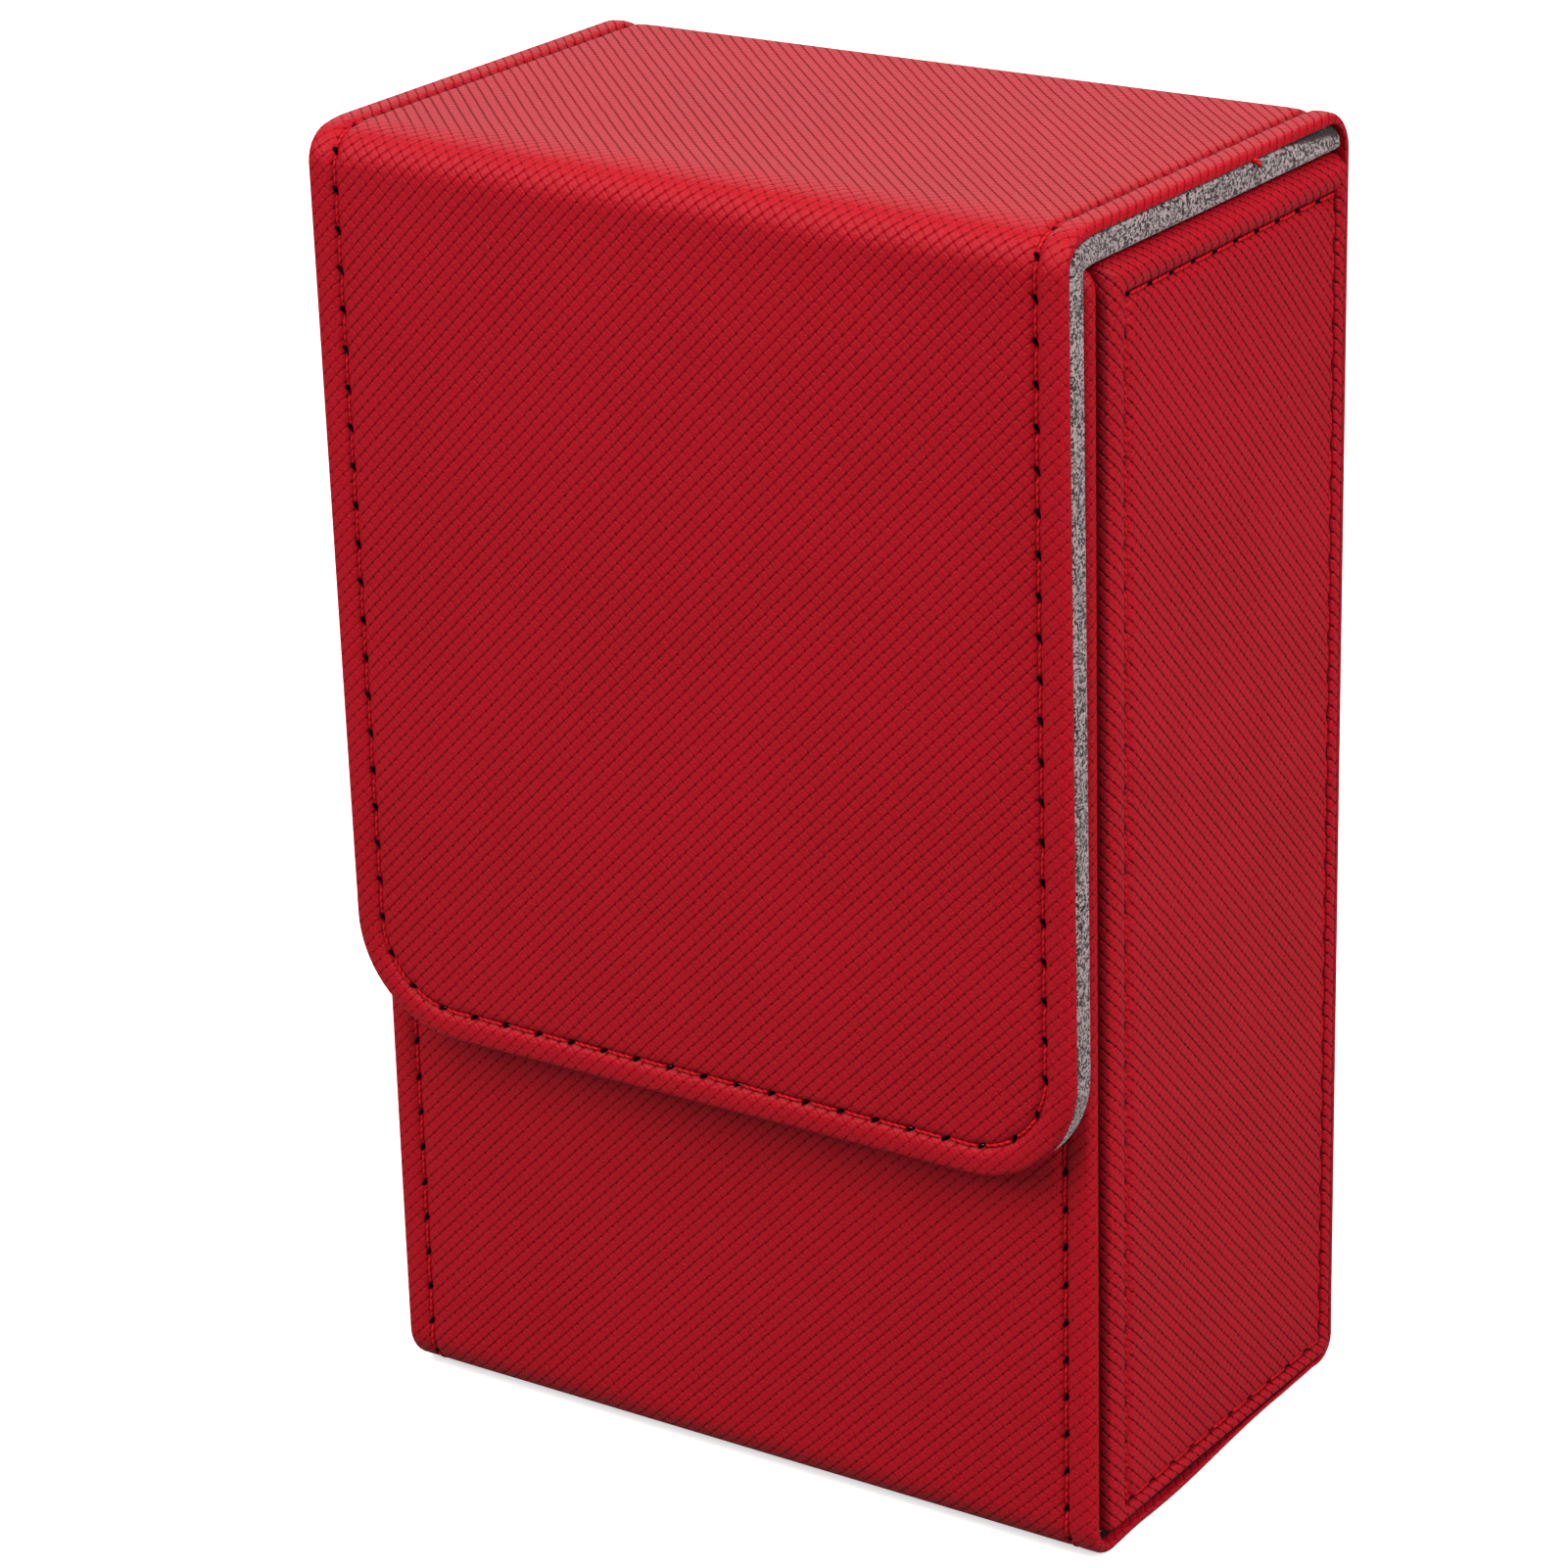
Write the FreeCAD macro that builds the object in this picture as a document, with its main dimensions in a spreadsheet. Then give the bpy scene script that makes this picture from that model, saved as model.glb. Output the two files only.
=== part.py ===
import FreeCAD, Part
import math
import os
import re
import Sketcher

# A deck box for tall cards, in synthetic leather over greyboard with a microfibre
# lining.  +X is to the right, -Y is the front, +Z is up, and the origin is the centre
# of the underside.  One strip of covering runs up the front, under the floor, up the
# back, over the lid and down the front again as the flap.

# Driving dimensions, in millimetres
DIMENSIONS = {
    "box_width": 82.0,        # outside width of the strip
    "box_depth": 47.2,        # outside of the front wall to outside of the back wall
    "box_height": 131.0,      # underside to the top of the lid
    "sheet_thick": 0.9,       # covering
    "board_thick": 1.4,       # greyboard
    "lining_thick": 0.7,      # microfibre on the walls
    "pad_thick": 2.7,         # lining of the lid and flap, wrapped round their boards
    "lid_gap": 0.5,           # lid lining to the top of the walls
    "flap_gap": 0.7,          # flap lining to the front wall
    "fold_radius": 5.0,       # outside of the fold between lid and flap
    "hinge_radius": 4.0,      # outside of the bend behind the lid
    "base_radius": 3.0,       # outside of the bends under the box
    "rim_radius": 1.3,        # outer edge along the top of the front wall
    "flap_length": 90.9,      # top of the lid to the lower edge of the flap
    "flap_corner": 11.5,      # rounded lower corners of the flap
    "hem_thick": 1.4,         # turned-in edge of the covering beside a side panel
    "side_slot": 0.8,         # groove between that edge and a side panel
    "floor_slot": 1.5,        # open slot between the floor strip and a side panel
    "board_margin": 1.5,      # edge of a board back from the edge of its covering
    "board_play": 0.1,        # room round a board in its pocket
    "seam_inset": 3.1,        # seam back from the edge of the strip
    "side_seam": 3.4,         # seam back from the front and top edges of a side panel
    "side_seam_back": 1.8,    # seam back from the back and bottom edges of a side panel
    "thread_width": 0.5,
    "thread_thick": 0.25,
    "magnet_radius": 5.0,
    "magnet_thick": 1.2,
    "magnet_height": 55.0,    # magnets above the underside
    "magnet_spacing": 40.0,   # between the two magnets of a pair
}

# Places used by several pieces, written as expressions of the driving dimensions
EDGE = "box_width / 2"
FRONT = "-box_depth / 2"
BACK = "box_depth / 2"
WALL_TOP = "(box_height - sheet_thick - pad_thick - lid_gap)"
FRONT_BOARD = f"({FRONT} + sheet_thick)"
FRONT_LINING = f"({FRONT_BOARD} + board_thick)"
INNER_FRONT = f"({FRONT_LINING} + lining_thick)"
BACK_BOARD = f"({BACK} - sheet_thick)"
BACK_LINING = f"({BACK_BOARD} - board_thick)"
INNER_BACK = f"({BACK_LINING} - lining_thick)"
FLOOR_LINING = "(sheet_thick + board_thick)"
INNER_FLOOR = f"({FLOOR_LINING} + lining_thick)"
SIDE_BOARD = f"({EDGE} - sheet_thick)"
SIDE_LINING = f"({SIDE_BOARD} - board_thick)"
INNER_SIDE = f"({SIDE_LINING} - lining_thick)"
HEM_BACK = f"({FRONT} + hem_thick)"
SIDE_FRONT = f"({HEM_BACK} + side_slot)"
SIDE_BOTTOM = "(sheet_thick + floor_slot)"
LID_TOP = "box_height"
LID_PAD = "(box_height - sheet_thick)"
LID_UNDER = "(box_height - sheet_thick - pad_thick)"
FLAP_INNER = f"({FRONT} - flap_gap)"
FLAP_PAD = f"({FLAP_INNER} - pad_thick)"
FLAP_OUTER = f"({FLAP_PAD} - sheet_thick)"
FLAP_BOTTOM = "(box_height - flap_length)"
FOLD_Y = f"({FLAP_OUTER} + fold_radius)"
FOLD_Z = "(box_height - fold_radius)"
HINGE_Y = f"({BACK} - hinge_radius)"
HINGE_Z = "(box_height - hinge_radius)"
SEAM = f"({EDGE} - seam_inset)"
QUARTER_TURN = math.pi / 2


def minus(place):
    """The expression for the mirror image of a place."""
    return f"-({place})"


def both_sides(low, high):
    """A stretch of X on the right and its mirror image on the left."""
    return (("right", (low, high)), ("left", (minus(high), minus(low))))


def on_sheet(text):
    """Point every dimension named in an expression at its cell."""
    return re.sub(r"[a-z_]+", lambda word: "dims." + word.group(), text)


def value(text):
    """The number that an expression of the driving dimensions comes to now."""
    words = {name: str(size) for name, size in DIMENSIONS.items()}
    plain = re.sub(r"[a-z_]+", lambda word: words[word.group()], text)
    return FreeCAD.Units.Quantity(plain).Value


def bind(item, prop, text):
    item.setExpression(prop, on_sheet(text))


def dimension_sheet(doc):
    sheet = doc.addObject("Spreadsheet::Sheet", "dims")
    for row, (name, size) in enumerate(DIMENSIONS.items(), start=1):
        sheet.set(f"A{row}", name)
        sheet.set(f"B{row}", str(size))
        sheet.setAlias(f"B{row}", name)
    doc.recompute()


def block(owner, kind, name, spans):
    """A box between three pairs of places, one pair along each axis."""
    in_body = owner.TypeId == "PartDesign::Body"
    make = owner.newObject if in_body else owner.addObject
    item = make(kind, name)
    for size, axis, (low, high) in zip(("Length", "Width", "Height"), "xyz", spans):
        bind(item, size, f"{high} - ({low})")
        bind(item, f"Placement.Base.{axis}", low)
    return item


def board(doc, name, spans):
    """A plain rectangular piece."""
    item = block(doc, "Part::Box", name, spans)
    item.Label = name
    return item


def body(doc, name):
    item = doc.addObject("PartDesign::Body", name)
    item.Label = name
    return item


def add(owner, name, spans):
    return block(owner, "PartDesign::AdditiveBox", name, spans)


def take(owner, name, spans):
    return block(owner, "PartDesign::SubtractiveBox", name, spans)


def edges_along(shape, axis, places):
    """Names of the straight edges along one axis that pass through given places.

    places maps the other two axes to the coordinates that the edges have there.
    """
    names = []
    for index, edge in enumerate(shape.Edges, start=1):
        ends = [vertex.Point for vertex in edge.Vertexes]
        if len(ends) != 2:
            continue
        if abs(getattr(ends[0], axis) - getattr(ends[1], axis)) < 1e-6:
            continue
        spots = [(getattr(end, other), places[other]) for end in ends for other in places]
        if all(min(abs(at - want) for want in wanted) < 1e-6 for at, wanted in spots):
            names.append(f"Edge{index}")
    return names


def fillet(owner, name, axis, places, radius):
    """Round the tip's edges along one axis at the given places."""
    owner.Document.recompute()
    base = owner.Tip
    item = owner.newObject("PartDesign::Fillet", name)
    item.Base = (base, edges_along(base.Shape, axis, places))
    bind(item, "Radius", radius)
    return item


def origin_plane(owner, role):
    return next(plane for plane in owner.Origin.OriginFeatures if plane.Role == role)


def sketch_on(owner, name, role):
    sketch = owner.newObject("Sketcher::SketchObject", name)
    sketch.AttachmentSupport = [(origin_plane(owner, role), "")]
    sketch.MapMode = "FlatFace"
    return sketch


def size_constraint(sketch, constraint, text):
    """Add a dimensional constraint and bind it to an expression."""
    index = sketch.addConstraint(constraint)
    bind(sketch, f"Constraints[{index}]", text)


# ---------------------------------------------------------------- bent strips
def ring_sector(owner, centre, outer, inner, towards_front):
    """Quarter ring in the YZ plane, padded to the full width of the strip.

    The quarter runs from straight up to straight forward or straight back.
    """
    sketch = sketch_on(owner, owner.Name + "_section", "YZ_Plane")
    middle = FreeCAD.Vector(value(centre[0]), value(centre[1]), 0)
    start = QUARTER_TURN if towards_front else 0.0
    for radius in (outer, inner):
        circle = Part.Circle(middle, FreeCAD.Vector(0, 0, 1), value(radius))
        sketch.addGeometry(Part.ArcOfCircle(circle, start, start + QUARTER_TURN), False)
    for point in (1, 2):
        ends = [sketch.getPoint(arc, point) for arc in (0, 1)]
        sketch.addGeometry(Part.LineSegment(*ends), False)
    for line, point in ((2, 1), (3, 2)):
        sketch.addConstraint(Sketcher.Constraint("Coincident", line, 1, 0, point))
        sketch.addConstraint(Sketcher.Constraint("Coincident", line, 2, 1, point))
    sketch.addConstraint(Sketcher.Constraint("Coincident", 0, 3, 1, 3))
    upright, level = (2, 3) if towards_front else (3, 2)
    sketch.addConstraint(Sketcher.Constraint("Vertical", upright))
    sketch.addConstraint(Sketcher.Constraint("Horizontal", level))
    sketch.addConstraint(Sketcher.Constraint("Vertical", 0, 3, upright, 1))
    sketch.addConstraint(Sketcher.Constraint("Horizontal", 0, 3, level, 1))
    size_constraint(sketch, Sketcher.Constraint("Radius", 0, value(outer)), outer)
    size_constraint(sketch, Sketcher.Constraint("Radius", 1, value(inner)), inner)
    across = Sketcher.Constraint("DistanceX", -1, 1, 0, 3, middle.x)
    size_constraint(sketch, across, centre[0])
    upwards = Sketcher.Constraint("DistanceY", -1, 1, 0, 3, middle.y)
    size_constraint(sketch, upwards, centre[1])
    pad = owner.newObject("PartDesign::Pad", owner.Name + "_pad")
    pad.Profile = sketch
    pad.SideType = "Symmetric"
    bind(pad, "Length", "box_width")


def bent_strip(doc, name, centre, outer, inner, towards_front):
    item = body(doc, name)
    ring_sector(item, centre, outer, inner, towards_front)
    return item


# ---------------------------------------------------------------- flap outlines
def tongue_sketch(owner, name, face, inset):
    """Outline of the flap, drawn back from its edge by inset, at Y = face.

    The top is straight and the two lower corners are round.
    """
    half = value(f"{EDGE} - ({inset})")
    top = value(FOLD_Z)
    bottom = value(f"{FLAP_BOTTOM} + ({inset})")
    radius = value(f"flap_corner - ({inset})")
    up = FreeCAD.Vector(0, 0, 1)
    sketch = sketch_on(owner, name, "XZ_Plane")
    bind(sketch, "AttachmentOffset.Base.z", minus(face))

    def point(x, z):
        return FreeCAD.Vector(x, z, 0)

    right = Part.Circle(point(half - radius, bottom + radius), up, radius)
    left = Part.Circle(point(radius - half, bottom + radius), up, radius)
    sketch.addGeometry([
        Part.LineSegment(point(-half, top), point(half, top)),
        Part.LineSegment(point(half, top), point(half, bottom + radius)),
        Part.ArcOfCircle(right, -QUARTER_TURN, 0.0),
        Part.LineSegment(point(half - radius, bottom), point(radius - half, bottom)),
        Part.ArcOfCircle(left, 2 * QUARTER_TURN, 3 * QUARTER_TURN),
        Part.LineSegment(point(-half, bottom + radius), point(-half, top)),
    ], False)
    sketch.addConstraint([
        Sketcher.Constraint("Coincident", 0, 2, 1, 1),
        Sketcher.Constraint("Tangent", 1, 2, 2, 2),
        Sketcher.Constraint("Tangent", 2, 1, 3, 1),
        Sketcher.Constraint("Tangent", 3, 2, 4, 2),
        Sketcher.Constraint("Tangent", 4, 1, 5, 1),
        Sketcher.Constraint("Coincident", 5, 2, 0, 1),
        Sketcher.Constraint("Vertical", 5),
        Sketcher.Constraint("Equal", 2, 4),
        Sketcher.Constraint("Symmetric", 0, 1, 0, 2, -2),
        Sketcher.Constraint("Vertical", 1),
        Sketcher.Constraint("Horizontal", 3),
    ])
    width = Sketcher.Constraint("DistanceX", 0, 1, 0, 2, 2 * half)
    size_constraint(sketch, width, f"box_width - 2 * ({inset})")
    size_constraint(sketch, Sketcher.Constraint("Radius", 2, radius), f"flap_corner - ({inset})")
    size_constraint(sketch, Sketcher.Constraint("DistanceY", -1, 1, 0, 1, top), FOLD_Z)
    foot = Sketcher.Constraint("DistanceY", -1, 1, 3, 1, bottom)
    size_constraint(sketch, foot, f"{FLAP_BOTTOM} + ({inset})")
    return sketch


def tongue(owner, kind, name, face, inset, depth):
    """Pad or pocket a flap outline from Y = face towards the front."""
    sketch = tongue_sketch(owner, name + "_outline", face, inset)
    item = owner.newObject(kind, name)
    item.Profile = sketch
    if kind == "PartDesign::Pocket":
        item.Reversed = True
    bind(item, "Length", depth)
    return item


def magnet_pair(doc, name, face, radius, depth):
    """Two discs side by side, from Y = face towards the back."""
    discs = []
    for side, sign in (("right", 1), ("left", -1)):
        disc = doc.addObject("Part::Cylinder", f"{name}_{side}")
        bind(disc, "Radius", radius)
        bind(disc, "Height", depth)
        disc.Placement.Rotation = FreeCAD.Rotation(FreeCAD.Vector(1, 0, 0), -90)
        bind(disc, "Placement.Base.x", f"{sign} * magnet_spacing / 2")
        bind(disc, "Placement.Base.y", face)
        bind(disc, "Placement.Base.z", "magnet_height")
        discs.append(disc)
    pair = doc.addObject("Part::MultiFuse", name)
    pair.Shapes = discs
    pair.Label = name
    return pair


def group(doc, name, items):
    """One node made of several separate solids of the same kind."""
    item = doc.addObject("Part::MultiFuse", name)
    item.Shapes = items
    item.Label = name
    return item


def cut(doc, name, base, tool):
    item = doc.addObject("Part::Cut", name)
    item.Base = base
    item.Tool = tool
    item.Label = name
    return item


# ---------------------------------------------------------------- the box
def body_cover(doc):
    """Strip round the front, floor and back, with its edges turned in at the front."""
    cover = body(doc, "body_cover")
    width = (minus(EDGE), EDGE)
    add(cover, "cover_block", (width, (FRONT, BACK), ("0", HINGE_Z)))
    fillet(cover, "base_bends", "x", {"y": [value(FRONT), value(BACK)], "z": [0.0]}, "base_radius")
    take(cover, "inside", (width, (FRONT_LINING, BACK_BOARD), ("sheet_thick", LID_TOP)))
    board_width = (minus(SIDE_LINING), SIDE_LINING)
    board_depth = (FRONT_BOARD, FRONT_LINING)
    board_height = ("sheet_thick", f"{WALL_TOP} - sheet_thick")
    take(cover, "front_pocket", (board_width, board_depth, board_height))
    take(cover, "front_rim", (width, (FRONT, "0"), (WALL_TOP, LID_TOP)))
    rim = {"y": [value(FRONT)], "z": [value(WALL_TOP)]}
    fillet(cover, "rim_bend", "x", rim, "rim_radius")
    for side, across in both_sides(SIDE_LINING, EDGE):
        hem = (across, (HEM_BACK, FRONT_LINING), ("sheet_thick", LID_TOP))
        take(cover, f"side_slot_{side}", hem)
    runs = seam_runs()
    for side, across in both_sides(f"{SEAM} - thread_width / 2", f"{SEAM} + thread_width / 2"):
        for place, (depth, height) in runs.items():
            take(cover, f"seam_groove_{place}_{side}", (across, depth, height))
    return cover


def seam_runs():
    """Straight runs of the strip's seams, as spans along Y and Z, sunk in the cover."""
    straight = ("base_radius", f"{WALL_TOP} - 2 * rim_radius")
    return {
        "front": ((FRONT, f"{FRONT} + thread_thick"), straight),
        "back": ((f"{BACK} - thread_thick", BACK), straight),
        "floor": ((f"{FRONT} + base_radius", f"{BACK} - base_radius"), ("0", "thread_thick")),
    }


def body_thread(doc):
    runs = seam_runs()
    pieces = []
    for side, across in both_sides(f"{SEAM} - thread_width / 2", f"{SEAM} + thread_width / 2"):
        for place, (depth, height) in runs.items():
            name = f"thread_{place}_{side}"
            pieces.append(block(doc, "Part::Box", name, (across, depth, height)))
    return group(doc, "body_thread", pieces)


def front_magnets(doc):
    return magnet_pair(doc, "front_magnets", FRONT_BOARD, "magnet_radius", "magnet_thick")


def front_board(doc):
    """Stiffener of the front wall, bored through for its two magnets."""
    edge = f"{SIDE_LINING} - board_play"
    top = f"{WALL_TOP} - sheet_thick - board_play"
    height = ("base_radius", top)
    blank = block(doc, "Part::Box", "front_blank",
                  ((minus(edge), edge), (FRONT_BOARD, FRONT_LINING), height))
    hole_radius = "magnet_radius + board_play"
    holes = magnet_pair(doc, "front_holes", FRONT_BOARD, hole_radius, "board_thick")
    return cut(doc, "front_board", blank, holes)


def wall_boards(doc):
    inner = f"{SIDE_LINING} - board_play"
    across = (minus(inner), inner)
    upright = (SIDE_BOTTOM, f"{WALL_TOP} - board_margin")
    back = board(doc, "back_board", (across, (BACK_LINING, BACK_BOARD), upright))
    depth = (f"{FRONT_LINING} + board_play", f"{BACK_LINING} - board_play")
    floor = board(doc, "bottom_board", (across, depth, ("sheet_thick", FLOOR_LINING)))
    return [back, floor]


def wall_linings(doc):
    across = (minus(SIDE_LINING), SIDE_LINING)
    inner = (minus(INNER_SIDE), INNER_SIDE)
    upright = (INNER_FLOOR, f"{WALL_TOP} - sheet_thick")
    pieces = [
        board(doc, "front_lining", (across, (FRONT_LINING, INNER_FRONT), upright)),
        board(doc, "back_lining", (across, (INNER_BACK, BACK_LINING), upright)),
        board(doc, "bottom_lining",
              (across, (INNER_FRONT, INNER_BACK), (FLOOR_LINING, INNER_FLOOR))),
    ]
    for side, span in both_sides(INNER_SIDE, SIDE_LINING):
        depth = (INNER_FRONT, INNER_BACK)
        pieces.append(board(doc, f"{side}_side_lining", (span, depth, upright)))
    return pieces


def side_panel(doc, side):
    """One side panel: covering turned in round a board, and the seam round it."""
    spans = dict(both_sides(SIDE_LINING, EDGE))
    cover = body(doc, f"{side}_side_cover")
    depth = (SIDE_FRONT, BACK_BOARD)
    height = (SIDE_BOTTOM, WALL_TOP)
    add(cover, f"{side}_panel", (spans[side], depth, height))
    pocket = dict(both_sides(SIDE_LINING, SIDE_BOARD))[side]
    lip_in = (f"{SIDE_FRONT} + sheet_thick", f"{BACK_BOARD} - sheet_thick")
    lip_up = (f"{SIDE_BOTTOM} + sheet_thick", f"{WALL_TOP} - sheet_thick")
    take(cover, f"{side}_pocket", (pocket, lip_in, lip_up))
    stiff_in = (f"{lip_in[0]} + board_play", f"{lip_in[1]} - board_play")
    stiff_up = (f"{lip_up[0]} + board_play", f"{lip_up[1]} - board_play")
    stiffener = board(doc, f"{side}_side_board", (pocket, stiff_in, stiff_up))
    return [cover, stiffener, side_thread(doc, side)]


def side_thread(doc, side):
    """Rectangular seam standing on the face of a side panel."""
    span = dict(both_sides(EDGE, f"{EDGE} + thread_thick"))[side]
    outer = ((f"{SIDE_FRONT} + side_seam", f"{BACK_BOARD} - side_seam_back"),
             (f"{SIDE_BOTTOM} + side_seam_back", f"{WALL_TOP} - side_seam"))
    inner = [(f"{low} + thread_width", f"{high} - thread_width") for low, high in outer]
    plate = block(doc, "Part::Box", f"{side}_seam_plate", (span, *outer))
    window = block(doc, "Part::Box", f"{side}_seam_window", (span, *inner))
    return cut(doc, f"{side}_side_thread", plate, window)


# ---------------------------------------------------------------- the lid
def lid(doc):
    across = (minus(EDGE), EDGE)
    depth = (FOLD_Y, HINGE_Y)
    cover = board(doc, "lid_cover", (across, depth, (LID_PAD, LID_TOP)))
    lining = body(doc, "lid_lining")
    add(lining, "lid_pad", (across, depth, (LID_UNDER, LID_PAD)))
    inset = f"{EDGE} - board_margin"
    pocket_depth = (f"{FOLD_Y} + board_margin", f"{HINGE_Y} - board_margin")
    pocket_height = (f"{LID_PAD} - board_thick", LID_PAD)
    take(lining, "lid_pocket", ((minus(inset), inset), pocket_depth, pocket_height))
    stiff = f"{inset} - board_play"
    stiff_depth = (f"{pocket_depth[0]} + board_play", f"{pocket_depth[1]} - board_play")
    stiffener = board(doc, "lid_board", ((minus(stiff), stiff), stiff_depth, pocket_height))
    return [cover, lining, stiffener, lid_thread(doc)]


def lid_thread(doc):
    """Straight seams along both edges of the lid."""
    height = (LID_TOP, f"{LID_TOP} + thread_thick")
    pieces = []
    for side, across in both_sides(f"{SEAM} - thread_width / 2", f"{SEAM} + thread_width / 2"):
        spans = (across, (FOLD_Y, HINGE_Y), height)
        pieces.append(block(doc, "Part::Box", f"lid_run_{side}", spans))
    return group(doc, "lid_thread", pieces)


def bends(doc):
    """The stretches of covering and lining that bend when the box opens."""
    fold = (FOLD_Y, FOLD_Z)
    hinge = (HINGE_Y, HINGE_Z)
    fold_inner = "fold_radius - sheet_thick"
    hinge_inner = "hinge_radius - sheet_thick"
    return [
        bent_strip(doc, "front_fold_cover", fold, "fold_radius", fold_inner, True),
        bent_strip(doc, "front_fold_lining", fold, fold_inner, f"{fold_inner} - pad_thick", True),
        bent_strip(doc, "rear_hinge_cover", hinge, "hinge_radius", hinge_inner, False),
        bent_strip(doc, "rear_hinge_lining", hinge, hinge_inner, f"{hinge_inner} - lining_thick", False),
    ]


# ---------------------------------------------------------------- the flap
def flap(doc):
    pad = "PartDesign::Pad"
    cover = body(doc, "flap_cover")
    tongue(cover, pad, "flap_sheet", FLAP_PAD, "0", "sheet_thick")
    lining = body(doc, "flap_lining")
    tongue(lining, pad, "flap_pad", FLAP_INNER, "0", "pad_thick")
    pocket_face = f"{FLAP_PAD} + board_thick"
    cut_out = "PartDesign::Pocket"
    tongue(lining, cut_out, "flap_pocket", pocket_face, "board_margin", "board_thick")
    stiff = body(doc, "flap_blank")
    tongue(stiff, pad, "flap_stiff", pocket_face, "board_margin + board_play", "board_thick")
    top = f"{FOLD_Z} - board_margin - board_play"
    take(stiff, "flap_board_top", ((minus(EDGE), EDGE), (FLAP_PAD, FLAP_INNER), (top, FOLD_Z)))
    holes = magnet_pair(doc, "flap_holes", FLAP_PAD, "magnet_radius + board_play", "board_thick")
    stiffener = cut(doc, "flap_board", stiff, holes)
    magnets = magnet_pair(doc, "flap_magnets", FLAP_PAD, "magnet_radius", "magnet_thick")
    return [cover, lining, stiffener, magnets, flap_thread(doc)]


def flap_thread(doc):
    """Seam down both sides of the flap and round its lower edge."""
    outer = "seam_inset - thread_width / 2"
    inner = "seam_inset + thread_width / 2"
    loop = body(doc, "flap_thread")
    tongue(loop, "PartDesign::Pad", "seam_outer", FLAP_OUTER, outer, "thread_thick")
    tongue(loop, "PartDesign::Pocket", "seam_inner", FLAP_OUTER, inner, "thread_thick")
    return loop


def build(doc):
    nodes = [body_cover(doc), body_thread(doc), front_board(doc), front_magnets(doc)]
    nodes += wall_boards(doc)
    nodes += wall_linings(doc)
    nodes += side_panel(doc, "left")
    nodes += side_panel(doc, "right")
    nodes += lid(doc)
    nodes += bends(doc)
    nodes += flap(doc)
    return nodes


def check(doc, nodes):
    """Stop if any object failed to build or any piece is not a sound solid."""
    for item in doc.Objects:
        if "Invalid" in item.State or "Error" in item.State:
            raise RuntimeError(f"{item.Name} failed: {item.State}")
    for node in nodes:
        shape = node.Shape
        if shape.isNull() or not shape.isValid() or not shape.Solids:
            raise RuntimeError(f"{node.Label} has no sound solid")


def main():
    doc = FreeCAD.newDocument("deck_box")
    dimension_sheet(doc)
    nodes = build(doc)
    doc.recompute()
    check(doc, nodes)
    os.makedirs("parts", exist_ok=True)
    for node in nodes:
        node.Shape.exportStep(f"parts/{node.Label}.step")
        print(node.Label, len(node.Shape.Solids), round(node.Shape.Volume, 1))


main()
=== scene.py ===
import math

import bmesh
import bpy
import numpy as np
from mathutils import Matrix, Vector


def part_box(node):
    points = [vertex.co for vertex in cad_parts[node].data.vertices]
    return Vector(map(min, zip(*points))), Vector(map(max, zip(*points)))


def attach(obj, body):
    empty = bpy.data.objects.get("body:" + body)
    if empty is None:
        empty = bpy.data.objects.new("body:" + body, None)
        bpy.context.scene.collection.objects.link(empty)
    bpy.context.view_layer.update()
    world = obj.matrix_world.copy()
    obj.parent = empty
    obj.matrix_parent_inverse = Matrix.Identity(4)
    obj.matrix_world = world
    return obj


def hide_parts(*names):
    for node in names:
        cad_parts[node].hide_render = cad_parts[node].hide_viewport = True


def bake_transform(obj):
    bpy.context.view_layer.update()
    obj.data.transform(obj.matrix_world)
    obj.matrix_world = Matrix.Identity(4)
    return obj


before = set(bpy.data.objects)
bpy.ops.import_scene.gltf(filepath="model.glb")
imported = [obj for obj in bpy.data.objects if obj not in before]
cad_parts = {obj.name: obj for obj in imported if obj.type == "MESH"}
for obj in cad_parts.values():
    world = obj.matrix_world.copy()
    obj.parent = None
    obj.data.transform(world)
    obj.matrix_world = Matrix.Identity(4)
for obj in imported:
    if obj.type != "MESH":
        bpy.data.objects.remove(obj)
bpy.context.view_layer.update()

MM = 0.001


# ---------------------------------------------------------------- sizes, in millimetres, from the frame
def box_mm(node):
    """The lowest and the highest corner of a CAD node."""
    low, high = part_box(node)
    return low / MM, high / MM


body_low, body_high = box_mm("body_cover")
lid_low, lid_high = box_mm("lid_cover")
flap_low, flap_high = box_mm("flap_cover")
pad_low, pad_high = box_mm("lid_lining")
wall_low, wall_high = box_mm("right_side_cover")
lining_low, lining_high = box_mm("front_lining")
back_lining_low, back_lining_high = box_mm("back_lining")
side_lining_low = box_mm("right_side_lining")[0]
floor_lining_high = box_mm("bottom_lining")[1]
back_board_low, back_board_high = box_mm("back_board")
side_thread_low, side_thread_high = box_mm("right_side_thread")
lid_thread_high = box_mm("lid_thread")[1]

HALF_WIDTH = body_high.x
FRONT = body_low.y
BACK = body_high.y
WALL_TOP = wall_high.z
SHEET = lid_high.z - lid_low.z
HINGE_RADIUS = lid_high.z - body_high.z
FOLD_RADIUS = lid_high.z - flap_high.z
PAD_THICKNESS = pad_high.z - pad_low.z
CAD_THREAD = lid_thread_high.z - lid_high.z
SEAM = HALF_WIDTH - lid_thread_high.x + CAD_THREAD
QUARTER = math.pi / 2

# ---------------------------------------------------------------- the look's own sizes, in millimetres
# Thread: the pitch of its stitches, its radius, how far a stitch spans its pitch, and how it slants and dips.
STITCH = 3.9
THREAD_RADIUS = 0.17
STITCH_SPAN = (0.13, 0.87)
STITCH_SLANT = 0.06
STITCH_DIP = 0.42
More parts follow.
